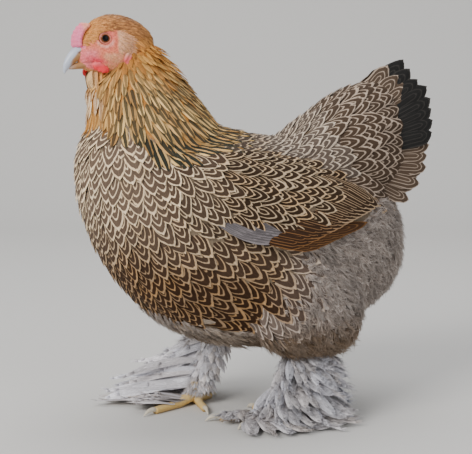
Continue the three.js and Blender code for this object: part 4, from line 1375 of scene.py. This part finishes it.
def shank_wrap(side, leg):
    """Short feathers round the rest of the shank."""
    for _ in range(110):
        share = rng.uniform(-0.12, 0.78)
        turn = rng.uniform(*((-170, 30) if side < 0 else (-150, 20)))
        way = heading(side, turn)
        root = lerp(leg["hock"], leg["ball"], share) + way * 5
        length = rng.uniform(20, 34) * (1 - 0.35 * max(share, 0))
        tip = max(root[2] - length * rng.uniform(0.55, 0.85), 7)
        light, dark = foot_colours(side, (0.1, 0.7), (0.75, 1.15))
        middle = root + way * length * 0.4 + [0, 0, (tip - root[2]) * 0.4]
        spine = bowed(root, middle, root + way * length * 0.55 + [0, 0, tip - root[2]])
        along = unit(np.gradient(spine, axis=0))
        lie = way + [0, 0, 0.6]
        normal = unit(lie - along * (along @ lie)[:, None])
        legs_coat.add(spine, normal, rng.uniform(3.4, 5.6), "round", light, dark, 0.0, 0.3, camber=0.3)


def shank_down(side, leg):
    """Down all over the shank."""
    for _ in range(520):
        share = rng.uniform(-0.25, 0.95)
        out = heading(side, rng.uniform(-180, 180))
        root = lerp(leg["hock"], leg["ball"], share) + out * rng.uniform(6, 12)
        root[2] = max(root[2], 12)
        light, _ = foot_colours(side, (0, 0.8), (0.7, 1.2))
        way = out * 0.6 + [0, 0, -0.8]
        leg_down.add(root, way, out, rng.uniform(9, 17), 0.5, 8, 0.36, 0.3, light, light * 0.6)


legs_coat = Coat("coat_legs")
leg_down = Down("down_legs")
for side, leg in LEGS.items():
    for grow in (shank_rows, toe_fans, shank_wrap, shank_down):
        grow(side, leg)
leg_down.build(side_unwrap, "foot_feather", DOWN, 53)
legs_coat.build(side_unwrap, "foot_feather", PLUMAGE)


# Bare and feathered parts of the head, by how far a place is forward and up
def head_parts(local):
    """Shares of bare skin, ear tuft and cheek at each place; the rest is crown and nape."""
    u, v, z = local.T
    brow = np.interp(u, [-4, 8, 24, 38, 46, 56, 64], [424, 431, 437, 436, 427, 421, 420])
    jaw = np.interp(u, [-4, 8, 24, 40, 60], [408, 400, 393, 390.5, 391])
    open_face = smooth_step(-1.5, 1.5, brow - z) * smooth_step(-1, 1, z - jaw) * smooth_step(5, 9, u)
    open_face = open_face * smooth_step(5, 9, np.abs(v) + 0.15 * (u - 40).clip(0, None))
    ear = smooth_step(25.5, 23, u) * smooth_step(411, 414, z)
    cheek = smooth_step(42, 36, u) * smooth_step(414, 410, z) + smooth_step(26, 20, u)
    return open_face, open_face * ear, open_face * (np.clip(cheek, 0, 1) * (1 - ear))


def head_spacing(places):
    """How far apart feathers stand at each place on the head, or 0 for none."""
    local = to_head(places)
    u, _, z = local.T
    bare, ear, cheek = head_parts(local)
    spacing = np.where(bare > 0.5, 4.2, 2.0)
    spacing[cheek > 0.5] = 2.6
    spacing[ear > 0.4] = 1.7
    spacing[((u - EYE_AT[0]) / 8.6) ** 2 + ((z - EYE_AT[2]) / 8.0) ** 2 < 1] = 0
    spacing[(u > 61) & (z < 442)] = 0
    spacing[(u > 36) & (z < 420) & (bare > 0.5)] = 0
    spacing[u < -18] = 0
    return spacing


def head_feather(u, z, bare, ear, cheek):
    """Length, half-width, rise of the tip and colour of the feather at a place on the head."""
    tone, nape = rng.uniform(0.75, 1.2), 0.0
    tall = rng.uniform(0.6, 1.3)
    if ear > 0.4:
        length, half = rng.uniform(4, 7), rng.uniform(0.5, 0.8)
        light = mix(EAR_LIGHT, CROWN, 0.35 * rng.random()) * tone
    elif cheek > 0.5:
        length, half = rng.uniform(2.6, 4.6), 0.42
        light = mix(EAR_LIGHT, CROWN, 0.7 * rng.random()) * tone
    elif bare > 0.5:
        length, half = rng.uniform(1.8, 3.2), 0.34
        light = mix(FACE, CROWN, 0.5) * tone
    else:
        grown, nape = smooth_step(46, 2, u), smooth_step(18, -8, u)
        length, half = 5 + 6 * grown + 8 * nape, 0.85 + 0.6 * grown + 0.9 * nape
        # Painted shade: darker red-brown feathers behind the ear and under the jaw
        behind = np.exp(-(((u - 5) / 5) ** 2)) * smooth_step(424, 414, z) + smooth_step(397, 391, z) * 0.6
        light = layered(
            mix(CROWN, CROWN_DEEP, 0.9 * rng.random() ** 2),
            (NAPE, 0.7 * nape),
            # Painted sheen: a greyish light on some feathers at the top of the crown
            (CROWN_PAINTED_SHEEN, 0.5 * smooth_step(445, 452, z) * rng.random()),
            (CROWN_BROWN, 0.5 * smooth_step(428, 438, z) * smooth_step(46, 30, u) * smooth_step(-14, 2, u)),
            (LORE, 0.7 * smooth_step(42, 50, u)),
            (CREAM, 0.35 * smooth_step(402, 394, z)),
            (CHEEK_SHADE, 0.75 * min(behind, 1.0)),
        ) * rng.uniform(0.75, 1.15)
    return length, half, tall * (1 + 1.6 * nape), light


head_coat = Coat("coat_head", strips=2, thick=0.12)
tries = 60000
places, normals = scatter(head_points, head_triangles, head_spacing, tries, 5)
local = to_head(places)
for place, normal, (u, _, z), parts in zip(places, normals, local, np.array(head_parts(local)).T):
    slope = np.interp(u, [-18, 0, 20], [1.3, 0.7, 0.22]) if parts[0] < 0.5 else 0.55
    way = np.array([-1.0, 0, -slope]) @ HEAD_AXES
    way = turned(unit(way - normal * (way @ normal)), normal, rng.normal(0, 0.14))
    length, half, tall, light = head_feather(u, z, *parts)
    spine, lay_normals = lay(head_tree, place, way, length, tall, start=-0.4)
    head_coat.add(spine, lay_normals, half, "wisp", light, light * 0.45, 1.0, 0.6)

# The throat, where longer feathers hang from the jaw over the neck's front
for _ in range(520):
    u = rng.uniform(22, 52)
    v = rng.uniform(-1, 1) * np.interp(u, [22, 57], [17, 6])
    root, out, _, _ = head_tree.find_nearest(Vector(from_head([[u, v, 386.0]])[0]))
    drop = rng.uniform(16, 31) * np.interp(u, [22, 44, 57], [0.9, 1.0, 0.7])
    way = unit(np.array([-0.16, rng.normal(0, 0.08), -1.0])) @ HEAD_AXES
    start = np.array(root) - np.array(out) * 0.5
    outward = unit(np.array([0.7, v / 12, 0.0]) + rng.normal(0, 0.1, 3)) @ HEAD_AXES
    spine = bowed(start, start + way * drop * 0.5 + outward * 5.0, start + way * drop + outward * 3.0)
    deep = rng.random() ** 2 * 0.3 + 0.7 * smooth_step(52, 40, u)
    light = mix(THROAT_PALE, THROAT_DEEP, deep) * rng.uniform(0.85, 1.08)
    normals = np.repeat([outward], len(ROWS), axis=0)
    head_coat.add(spine, normals, rng.uniform(0.8, 1.8), "wisp", light, light * 0.5, 1.0, 0.45)
head_coat.build(head_unwrap, "head", PLUMAGE)
for name, (unwrap, slot) in COAT_PIECES.items():
    coats[name].build(unwrap, slot, PLUMAGE)


# Skin under the coat, with the face and its markings
def shank_path(side):
    """The shank's middle line and radii, from within the thigh to the ball of the foot."""
    hock = LEGS[side]["hock"]
    ankle = LEGS[side]["ball"] + [2, 0, 4]
    shank = [(lerp(hock, ankle, 0.35), 7.2), (lerp(hock, ankle, 0.8), 6.8), (ankle, 7.6)]
    return [(hock + [6, 0, 26], 13.0), (hock, 10.0), *shank]


body_faces = [tuple(p.vertices) for p in body_mesh.polygons]
skin_parts = [(body_points, body_faces), (head_points, head_faces)]
skin_parts += [limb_form(shank_path(side)) for side in (-1, 1)]
skin = mesh_object("skin", *joined(skin_parts))
skin_points = points_of(skin.data)
skin_tint = np.zeros((len(skin_points), 3))
skin_names = region(skin_points)
UNDER = {
    "hackle": mix(GOLD, GOLD_DEEP, 0.7),
    "breast": mix(BREAST_LIGHT, LOW_DARK, 0.8),
    "back": mix(WING_LIGHT, WING_DARK, 0.8),
    "wing": mix(WING_LIGHT, WING_DARK, 0.8),
    "tail": mix(TAIL_LIGHT, TAIL_DARK, 0.8),
    "thigh": mix(FLUFF_LIGHT, FLUFF_DARK, 0.5),
    "fluff": mix(FLUFF_LIGHT, FLUFF_DARK, 0.5),
    "belly": mix(BELLY_LIGHT, BELLY_DARK, 0.5),
}
for name, colour in UNDER.items():
    skin_tint[skin_names == name] = colour
head_slice = slice(len(body_points), len(body_points) + len(head_points))
local = to_head(skin_points[head_slice])
bare, ear, cheek = head_parts(local)
u, v, z = local.T
ring_gap = np.hypot(u - EYE_AT[0], z - EYE_AT[2])
eye_ring = np.exp(-(((ring_gap - 8.6) / 1.3) ** 2)) * smooth_step(428, 422, z)
face = layered(
    FACE,
    (CHEEK_SKIN, 0.8 * cheek),
    (PINK, smooth_step(40, 50, u) * smooth_step(420, 412, z)),
    (EYE_SKIN, 0.85 * smooth_step(15, 8, ring_gap) * smooth_step(44, 36, u)),
    (EYE_RING, 0.8 * eye_ring),
    (MOUTH_FOLD, 0.9 * soft_spot(u, z - 0.25 * (u - 45), (45, 404.5), (11, 3.2))),
    (MOUTH_LINE, 0.75 * soft_spot(u, z, (50, 402.2), (9, 0.9))),
    (LOBE_SKIN, 0.8 * soft_spot(u, z, (14, 407), (4, 6))),
    (EAR_SKIN, 0.9 * ear),
    (COMB_PINK, smooth_step(56, 59, u) * smooth_step(415, 419, z)),
)
blotch = np.sin(u * 0.9 + 2 * np.sin(z * 0.45)) * np.sin(z * 0.8 + 1.5 * np.sin(u * 0.5 + v))
face = face * (1 + 0.16 * blotch[:, None] * np.array([0.5, 1.2, 1.2]))
skin_tint[head_slice] = mix(np.array(CROWN) * 0.75, face, bare)
skin_tint[head_slice.stop:] = mix(FOOT_LIGHT, YELLOW, 0.4)
paint(skin, "tint", skin_tint)
flesh = ["head", "neck", "torso", "tail"]
flesh += [f"{part}_{word}" for part in ("wing", "thigh", "shank") for word in ("left", "right")]
finish_piece(skin, SKIN, "head", *flesh)


def tinted(name, points, faces, colours, material, slot, *nodes):
    """A smooth piece with a colour for each point, or one for all."""
    obj = mesh_object(name, points, faces)
    paint(obj, "tint", np.broadcast_to(colours, (len(points), 3)))
    finish_piece(obj, material, slot, *nodes)


def sphere(centre, radii, rings=24, count=32):
    """A round form as a loft up its own Z."""
    centre, (a, b, c) = np.asarray(centre, float), radii
    levels = []
    for angle in np.linspace(-math.pi / 2 + 0.06, math.pi / 2 - 0.06, rings):
        across = math.cos(angle)
        levels.append(ring(centre + Z * (c * math.sin(angle)), X, Y, a * across, b * across, 2, count))
    return loft(levels)


def horn_form(path, count):
    """A form whose rings stand square to a path in the head's middle plane."""
    rings = []
    fine = stations(path, 40)
    for k, (u, z, height, half) in enumerate(fine):
        before, after = fine[max(k - 1, 0)], fine[min(k + 1, 39)]
        along = unit(np.array([after[0] - before[0], 0, after[1] - before[1]]))
        upward = np.array([-along[2], 0, along[0]])
        rings.append(ring([u, 0, z], Y, upward, half, height, 2, count))
    return loft(rings)


# Beak
UPPER_BEAK = [
    [50, 417, 9.5, 7.5],
    [57, 414.5, 9.2, 7.4],
    [64, 411, 7.6, 6.4],
    [70, 406, 6, 5],
    [74.6, 400, 4.4, 3.5],
    [77.2, 394.6, 2.6, 2],
    [77.8, 390.6, 0.8, 0.8],
]
LOWER_BEAK = [
    [44, 400.5, 5, 7],
    [54, 400, 4.6, 6.4],
    [62, 399, 3.9, 5.2],
    [69, 397.2, 2.6, 3.5],
    [73, 396, 1.2, 1.6],
]
NOSTRIL_AT = np.array([62.5, 6.0, 412.5])
points, faces = horn_form(UPPER_BEAK, 48)
for side in (-1, 1):
    points[:, 1] -= side * 1.6 * bump_at(points, NOSTRIL_AT * [1, side, 1], [2.4, 6, 1.0], 1.0)
u, _, z = points.T
culmen = np.interp(u, [50, 57, 64, 70, 74.6, 77.8], [426, 423, 417.5, 410, 402, 391])
pale = np.maximum(smooth_step(5.8, 2.6, culmen - z) * smooth_step(56, 62, u), smooth_step(69, 74, u))
tint = layered(BROWN_HORN, (BONE, pale), (PINK, smooth_step(60, 55, u)))
for side in (-1, 1):
    pit = bump_at(points, (NOSTRIL_AT - [0, 0.5, 0]) * [1, side, 1], [1.8, 5, 0.8], 0.85)
    tint = mix(tint, NOSTRIL, pit)
tinted("beak_top", from_head(points), faces, tint, HORN, "beak", "beak_upper")
points, faces = horn_form(LOWER_BEAK, 36)
u = points[:, 0]
tint = layered(BROWN_HORN, (BONE, 0.2 * smooth_step(64, 72, u)), (PINK, smooth_step(58, 50, u)))
tinted("beak_bottom", from_head(points), faces, tint, HORN, "beak", "beak_lower")


# Eyes: a dark pupil in a brown iris, and lids round them
def eyeball(side, word, centre, look, first, second):
    """One eyeball, with its colours by the angle from where it looks."""
    rings = []
    for angle in np.linspace(0.02, math.pi - 0.02, 56):
        radius = EYE_RADIUS * math.sin(angle)
        spot = centre + look * (EYE_RADIUS * math.cos(angle))
        rings.append(ring(spot, first, second, radius, radius, 2, 48))
    points, faces = loft(rings)
    if side < 0:
        faces = [tuple(reversed(face)) for face in faces]
    away = np.degrees(np.arccos(np.clip((points - centre) @ look / EYE_RADIUS, -1, 1)))
    tint = layered(PUPIL, (IRIS, smooth_step(28, 31, away)), (IRIS_RIM, smooth_step(36, 46, away)))
    tinted(f"eyeball_{word}", from_head(points), faces, tint, EYE, "eye", f"eye_{word}")


LID_STEPS, LID_ROUND = 64, 12


def lids(word, centre, look, first, second):
    """One closed ring of lid about the eye's opening, pointed behind and thicker above."""
    out = math.sqrt(EYE_RADIUS**2 - (0.93 * EYE_OPENING) ** 2)
    rings = []
    for angle in np.linspace(0, 2 * math.pi, LID_STEPS, endpoint=False):
        c, s = math.cos(angle), math.sin(angle)
        pointed = 1 + 0.10 * max(-c, 0.0) ** 3
        tall = 0.92 if s > 0 else 0.95
        spot = centre + first * (c * EYE_OPENING * pointed) + second * (-s * EYE_OPENING * tall)
        spot = spot + look * (out - 0.1)
        outward = unit(spot - centre - look * ((spot - centre) @ look))
        thick = 0.85 + 0.45 * max(s, 0.0)
        rings.append(ring(spot, outward, look, thick, thick * 0.8, 2, LID_ROUND))
    points = np.concatenate(rings)
    faces = []
    for r in range(LID_STEPS):
        for k in range(LID_ROUND):
            a, b = r * LID_ROUND + k, r * LID_ROUND + (k + 1) % LID_ROUND
            faces.append((a, b, (b + LID_ROUND) % len(points), (a + LID_ROUND) % len(points)))
    dusk = smooth_step(0.4, 1.0, (points - centre) @ Z / EYE_RADIUS)
    tinted(f"lids_{word}", from_head(points), faces, mix(LID, LID_DUSK, dusk), SKIN, "head")


for side, word in ((1, "left"), (-1, "right")):
    look = unit(np.array([0.14, side, 0.04]))
    first = unit(np.cross(look, Z))
    eye = (EYE_AT * [1, side, 1], look, first, np.cross(look, first))
    eyeball(side, word, *eye)
    lids(word, *eye)

# Comb: small knobs in a middle row and two rows on each side
comb_parts = []
COMB_PATH = [[66, 420], [66, 427.5], [62.5, 435.5], [56, 442]]
# The rows' places across the head, the radius and number of their knobs, and how far they are set back
COMB_ROWS = [(0, 4.0, 6, 0), (4.2, 3.6, 6, 2.2), (-4.2, 3.6, 6, 2.2), (7.0, 2.5, 7, 4.0), (-7.0, 2.5, 7, 4.0)]
for across, radius, knobs, back_set in COMB_ROWS:
    for k in range(knobs):
        t = (k + 0.5) / knobs
        path = station(COMB_PATH, t)
        middle = np.array([path[0] - back_set, across, path[1]])
        comb_parts.append(sphere(middle, [radius] * 3, 10, 14))
        for _ in range(5):
            out = unit(np.array([0.9, across * 0.14, 0.3 + 0.5 * t]) + rng.normal(0, 0.45, 3))
            comb_parts.append(sphere(middle + out * (radius - 1.2), [rng.uniform(1.1, 1.6)] * 3, 7, 10))
comb_mesh = fused("comb", [(from_head(p), f) for p, f in comb_parts], voxel=0.42, rounds=13)
comb_points = points_of(comb_mesh)
comb_normals = np.empty(len(comb_points) * 3)
comb_mesh.vertices.foreach_get("normal", comb_normals)
comb_local = to_head(comb_points)
# Painted shade: deep red where the comb's surface turns away from its middle, in the hollows between knobs
core = comb_local - np.array([57, 0, 428])
shade = smooth_step(0.35, 0.95, (unit(core) * (comb_normals.reshape(-1, 3) @ HEAD_AXES.T)).sum(1))
root_share = 0.75 * smooth_step(61.5, 56, comb_local[:, 0])
comb_tint = layered(COMB_PAINTED_SHADE, (COMB_PINK, shade), (COMB_ROOT, root_share))
comb_faces = [tuple(p.vertices) for p in comb_mesh.polygons]
tinted("comb_knobs", comb_points, comb_faces, comb_tint, COMB, "comb", "comb")


def flap(centre, radii, turn, folds, seed):
    """A soft rounded flap with folds that run down it."""
    points, faces = sphere([0, 0, 0], radii, 40, 56)
    draw = np.random.default_rng(seed)
    phase = draw.uniform(0, 6)
    wave = np.sin(points[:, 0] * folds / radii[0] * 2.4 + points[:, 2] * 0.3 + phase)
    points[:, 1] += wave * 0.5 * np.sign(points[:, 1]) * (np.abs(points[:, 1]) > 0.2)
    points[:, 2] += 0.35 * np.sin(points[:, 0] * 1.3 + phase)
    a, b, c = turn
    rx = np.array([[1, 0, 0], [0, math.cos(a), -math.sin(a)], [0, math.sin(a), math.cos(a)]])
    ry = np.array([[math.cos(b), 0, math.sin(b)], [0, 1, 0], [-math.sin(b), 0, math.cos(b)]])
    rz = np.array([[math.cos(c), -math.sin(c), 0], [math.sin(c), math.cos(c), 0], [0, 0, 1]])
    return points @ (rx @ ry @ rz).T + centre, faces


WATTLES = {
    1: {"at": [42, 13.4, 397], "radii": [9.8, 2.4, 4.9], "turn": (0.18, -0.46, -0.12)},
    -1: {"at": [46, -11.6, 392], "radii": [7.6, 2.3, 6.4], "turn": (-0.1, -0.2, 0.1)},
}
for side, word in ((1, "left"), (-1, "right")):
    fold = WATTLES[side]
    points, faces = flap(fold["at"], fold["radii"], fold["turn"], 2, 20 + side)
    tint = mix(RED, RED_PALE, smooth_step(396, 403, points[:, 2]))
    tinted(f"wattle_fold_{word}", from_head(points), faces, tint, COMB, "wattle", f"wattle_{word}")
    points, faces = flap([14, side * 22.4, 407], [4.2, 1.8, 6.8], (0, -0.25, 0), 2, 30 + side)
    tint = mix(LOBE, LOBE_PALE, smooth_step(405, 413, points[:, 2]))
    tinted(f"lobe_{word}", from_head(points), faces, tint, COMB, "wattle", f"earlobe_{word}")


# Feet: toes under raised plates, and their claws
TOE_GAP = 0.25


def toe_form(leg, side, toe):
    """One toe, with a raised plate for each share of its length and a soft pad below."""
    along = heading(side, leg["turn"] + toe["turn"])
    rings = []
    across = np.cross(Z, along)
    steps = toe["plates"] * 5
    for k in range(steps + 1):
        share = k / steps
        radius = toe["base"] + (toe["end"] - toe["base"]) * share
        radius *= 1 + 0.035 * math.sin(share * 9)
        height = lerp(11, radius * 0.95, min(share / 0.4, 1))
        part = (share * toe["plates"]) % 1
        plate = 0.95 + 0.1 * part if part < 0.86 else 0.93
        centre = leg["ball"] * [1, 1, 0] + along * toe["length"] * share + Z * height
        one = ring(centre, across, Z, radius, radius, 2, 28)
        lift = (one[:, 2] - height) / radius
        grow = np.where(lift > 0.1, plate, 0.97 + 0.025 * np.sin(share * 60))
        one = one + (one - one.mean(0)) * (grow - 1)[:, None]
        one[:, 2] = np.maximum(one[:, 2], TOE_GAP)
        rings.append(one)
    return loft(rings)


def claw_form(leg, side, toe):
    """One claw, bowed down to the floor."""
    along = heading(side, leg["turn"] + toe["turn"])
    root = leg["ball"] * [1, 1, 0] + along * (toe["length"] - 2.5) + [0, 0, toe["end"] * 1.15]
    bow = [[0, 0, 0.72], [0.34, 1.3, 0.62], [0.7, 0.2, 0.44], [1, -toe["end"] * 0.9, 0.1]]
    path = []
    for share, rise, radius in stations(bow, 24):
        path.append((root + along * (toe["claw"] + 2.5) * share + [0, 0, rise], toe["end"] * radius + 0.1))
    points, faces = limb_form(path, 20)
    points[:, 2] = np.maximum(points[:, 2], TOE_GAP)
    return points, faces


for side, word in ((-1, "left"), (1, "right")):
    leg = LEGS[side]
    parts = [toe_form(leg, side, toe) for toe in TOES.values()]
    ball = leg["ball"]
    parts.append(sphere(ball * [1, 1, 0] + [0, 0, 9.2], [9.6, 9.6, 8.8], 16, 28))
    parts.append(limb_form([(ball + [2, 0, 16], 7.4), (ball + [1, 0, 8], 7.8), (ball, 8.2)], 24))
    points, faces = joined(parts)
    z = points[:, 2]
    tint = layered(YELLOW, (SOLE, 0.5 * smooth_step(6, 2, z)), (TOE_TOP, 0.4 * smooth_step(5, 9, z)))
    tinted(f"toes_{word}", points, faces, tint, SCALE, "foot", f"foot_{word}")
    for toe_name, toe in TOES.items():
        points, faces = claw_form(leg, side, toe)
        gap = np.linalg.norm((points - ball)[:, :2], axis=1) - toe["length"]
        tint = mix(PALE_HORN, CLAW_ROOT, smooth_step(4, -3, gap))
        tinted(f"nail_{word}_{toe_name}", points, faces, tint, HORN, "claw", f"claw_{word}_{toe_name}")


# Stage and lights, in metres
FLOOR_REACH, SWEEP_AT, SWEEP, WALL_HEIGHT, SHEET_HALF = 4.0, 1.6, 0.9, 5.0, 5.0
PAPER = (0.62, 0.61, 0.59)
LIT_PLACE = Vector((0.0, 0.0, 0.22))
# Name, place, size, power and colour
LIGHTS = [
    ("key", (-2.4, -1.5, 2.0), 1.5, 105, (1.0, 0.98, 0.95)),
    ("fill", (1.5, -2.4, 1.2), 2.4, 22, (0.95, 0.97, 1.0)),
    ("top", (0.2, 0.5, 2.7), 2.0, 40, (1.0, 1.0, 1.0)),
]


def area_light(name, place, size, power, colour):
    light = bpy.data.lights.new(name, "AREA")
    light.shape = "SQUARE"
    light.size = size
    light.energy = power
    light.color = colour
    obj = placed(name, light)
    obj.location = place
    obj.rotation_mode = "QUATERNION"
    obj.rotation_quaternion = (LIT_PLACE - Vector(place)).to_track_quat("-Z", "Y")


def stage_sheet():
    """A floor that sweeps up into a wall behind the hen, square to the camera's view."""
    azimuth = math.radians(CAMERA_AZIMUTH)
    right = np.array([math.cos(azimuth), math.sin(azimuth), 0])
    away = np.array([-math.sin(azimuth), math.cos(azimuth), 0])
    profile = [(-FLOOR_REACH, 0.0), (SWEEP_AT, 0.0)]
    for k in range(1, 17):
        angle = k / 16 * math.pi / 2
        profile.append((SWEEP_AT + SWEEP * math.sin(angle), SWEEP - SWEEP * math.cos(angle)))
    profile.append((SWEEP_AT + SWEEP, WALL_HEIGHT))
    points = [right * w + away * d + Z * h for d, h in profile for w in (-SHEET_HALF, SHEET_HALF)]
    faces = [(2 * k, 2 * k + 1, 2 * k + 3, 2 * k + 2) for k in range(len(profile) - 1)]
    mesh = bpy.data.meshes.new("backdrop")
    mesh.from_pydata([list(p) for p in points], [], faces)
    mesh.polygons.foreach_set("use_smooth", np.full(len(faces), True))
    obj = placed("backdrop", mesh)
    material = bpy.data.materials.new("backdrop_paper")
    material.use_nodes = True
    shader = material.node_tree.nodes["Principled BSDF"]
    shader.inputs["Base Color"].default_value = (*PAPER, 1)
    shader.inputs["Roughness"].default_value = 0.9
    mesh.materials.append(material)


# Angles in degrees, distances in millimetres and the frame's width in pixels
CAMERA_AZIMUTH = -18.0
CAMERA_ELEVATION = 7.3
CAMERA_DISTANCE = 1322.0
CAMERA_TARGET = np.array([0.0, 0.0, 216.0])
FOCAL_PIXELS = 1150.0
FRAME_PIXELS = 472.0
stage_sheet()
azimuth, elevation = math.radians(CAMERA_AZIMUTH), math.radians(CAMERA_ELEVATION)
level = math.cos(elevation)
back = np.array([math.sin(azimuth) * level, -math.cos(azimuth) * level, math.sin(elevation)])
camera = placed("camera", bpy.data.cameras.new("camera"))
camera.data.sensor_width = 36.0
camera.data.lens = camera.data.sensor_width * FOCAL_PIXELS / FRAME_PIXELS
camera.location = to_frame(CAMERA_TARGET + back * CAMERA_DISTANCE)
camera.rotation_mode = "QUATERNION"
camera.rotation_quaternion = Vector(-back).to_track_quat("-Z", "Y")
bpy.context.scene.camera = camera

for light in LIGHTS:
    area_light(*light)
world = bpy.data.worlds.new("room")
world.use_nodes = True
world.node_tree.nodes["Background"].inputs["Color"].default_value = (0.86, 0.88, 0.92, 1)
world.node_tree.nodes["Background"].inputs["Strength"].default_value = 0.5
bpy.context.scene.world = world
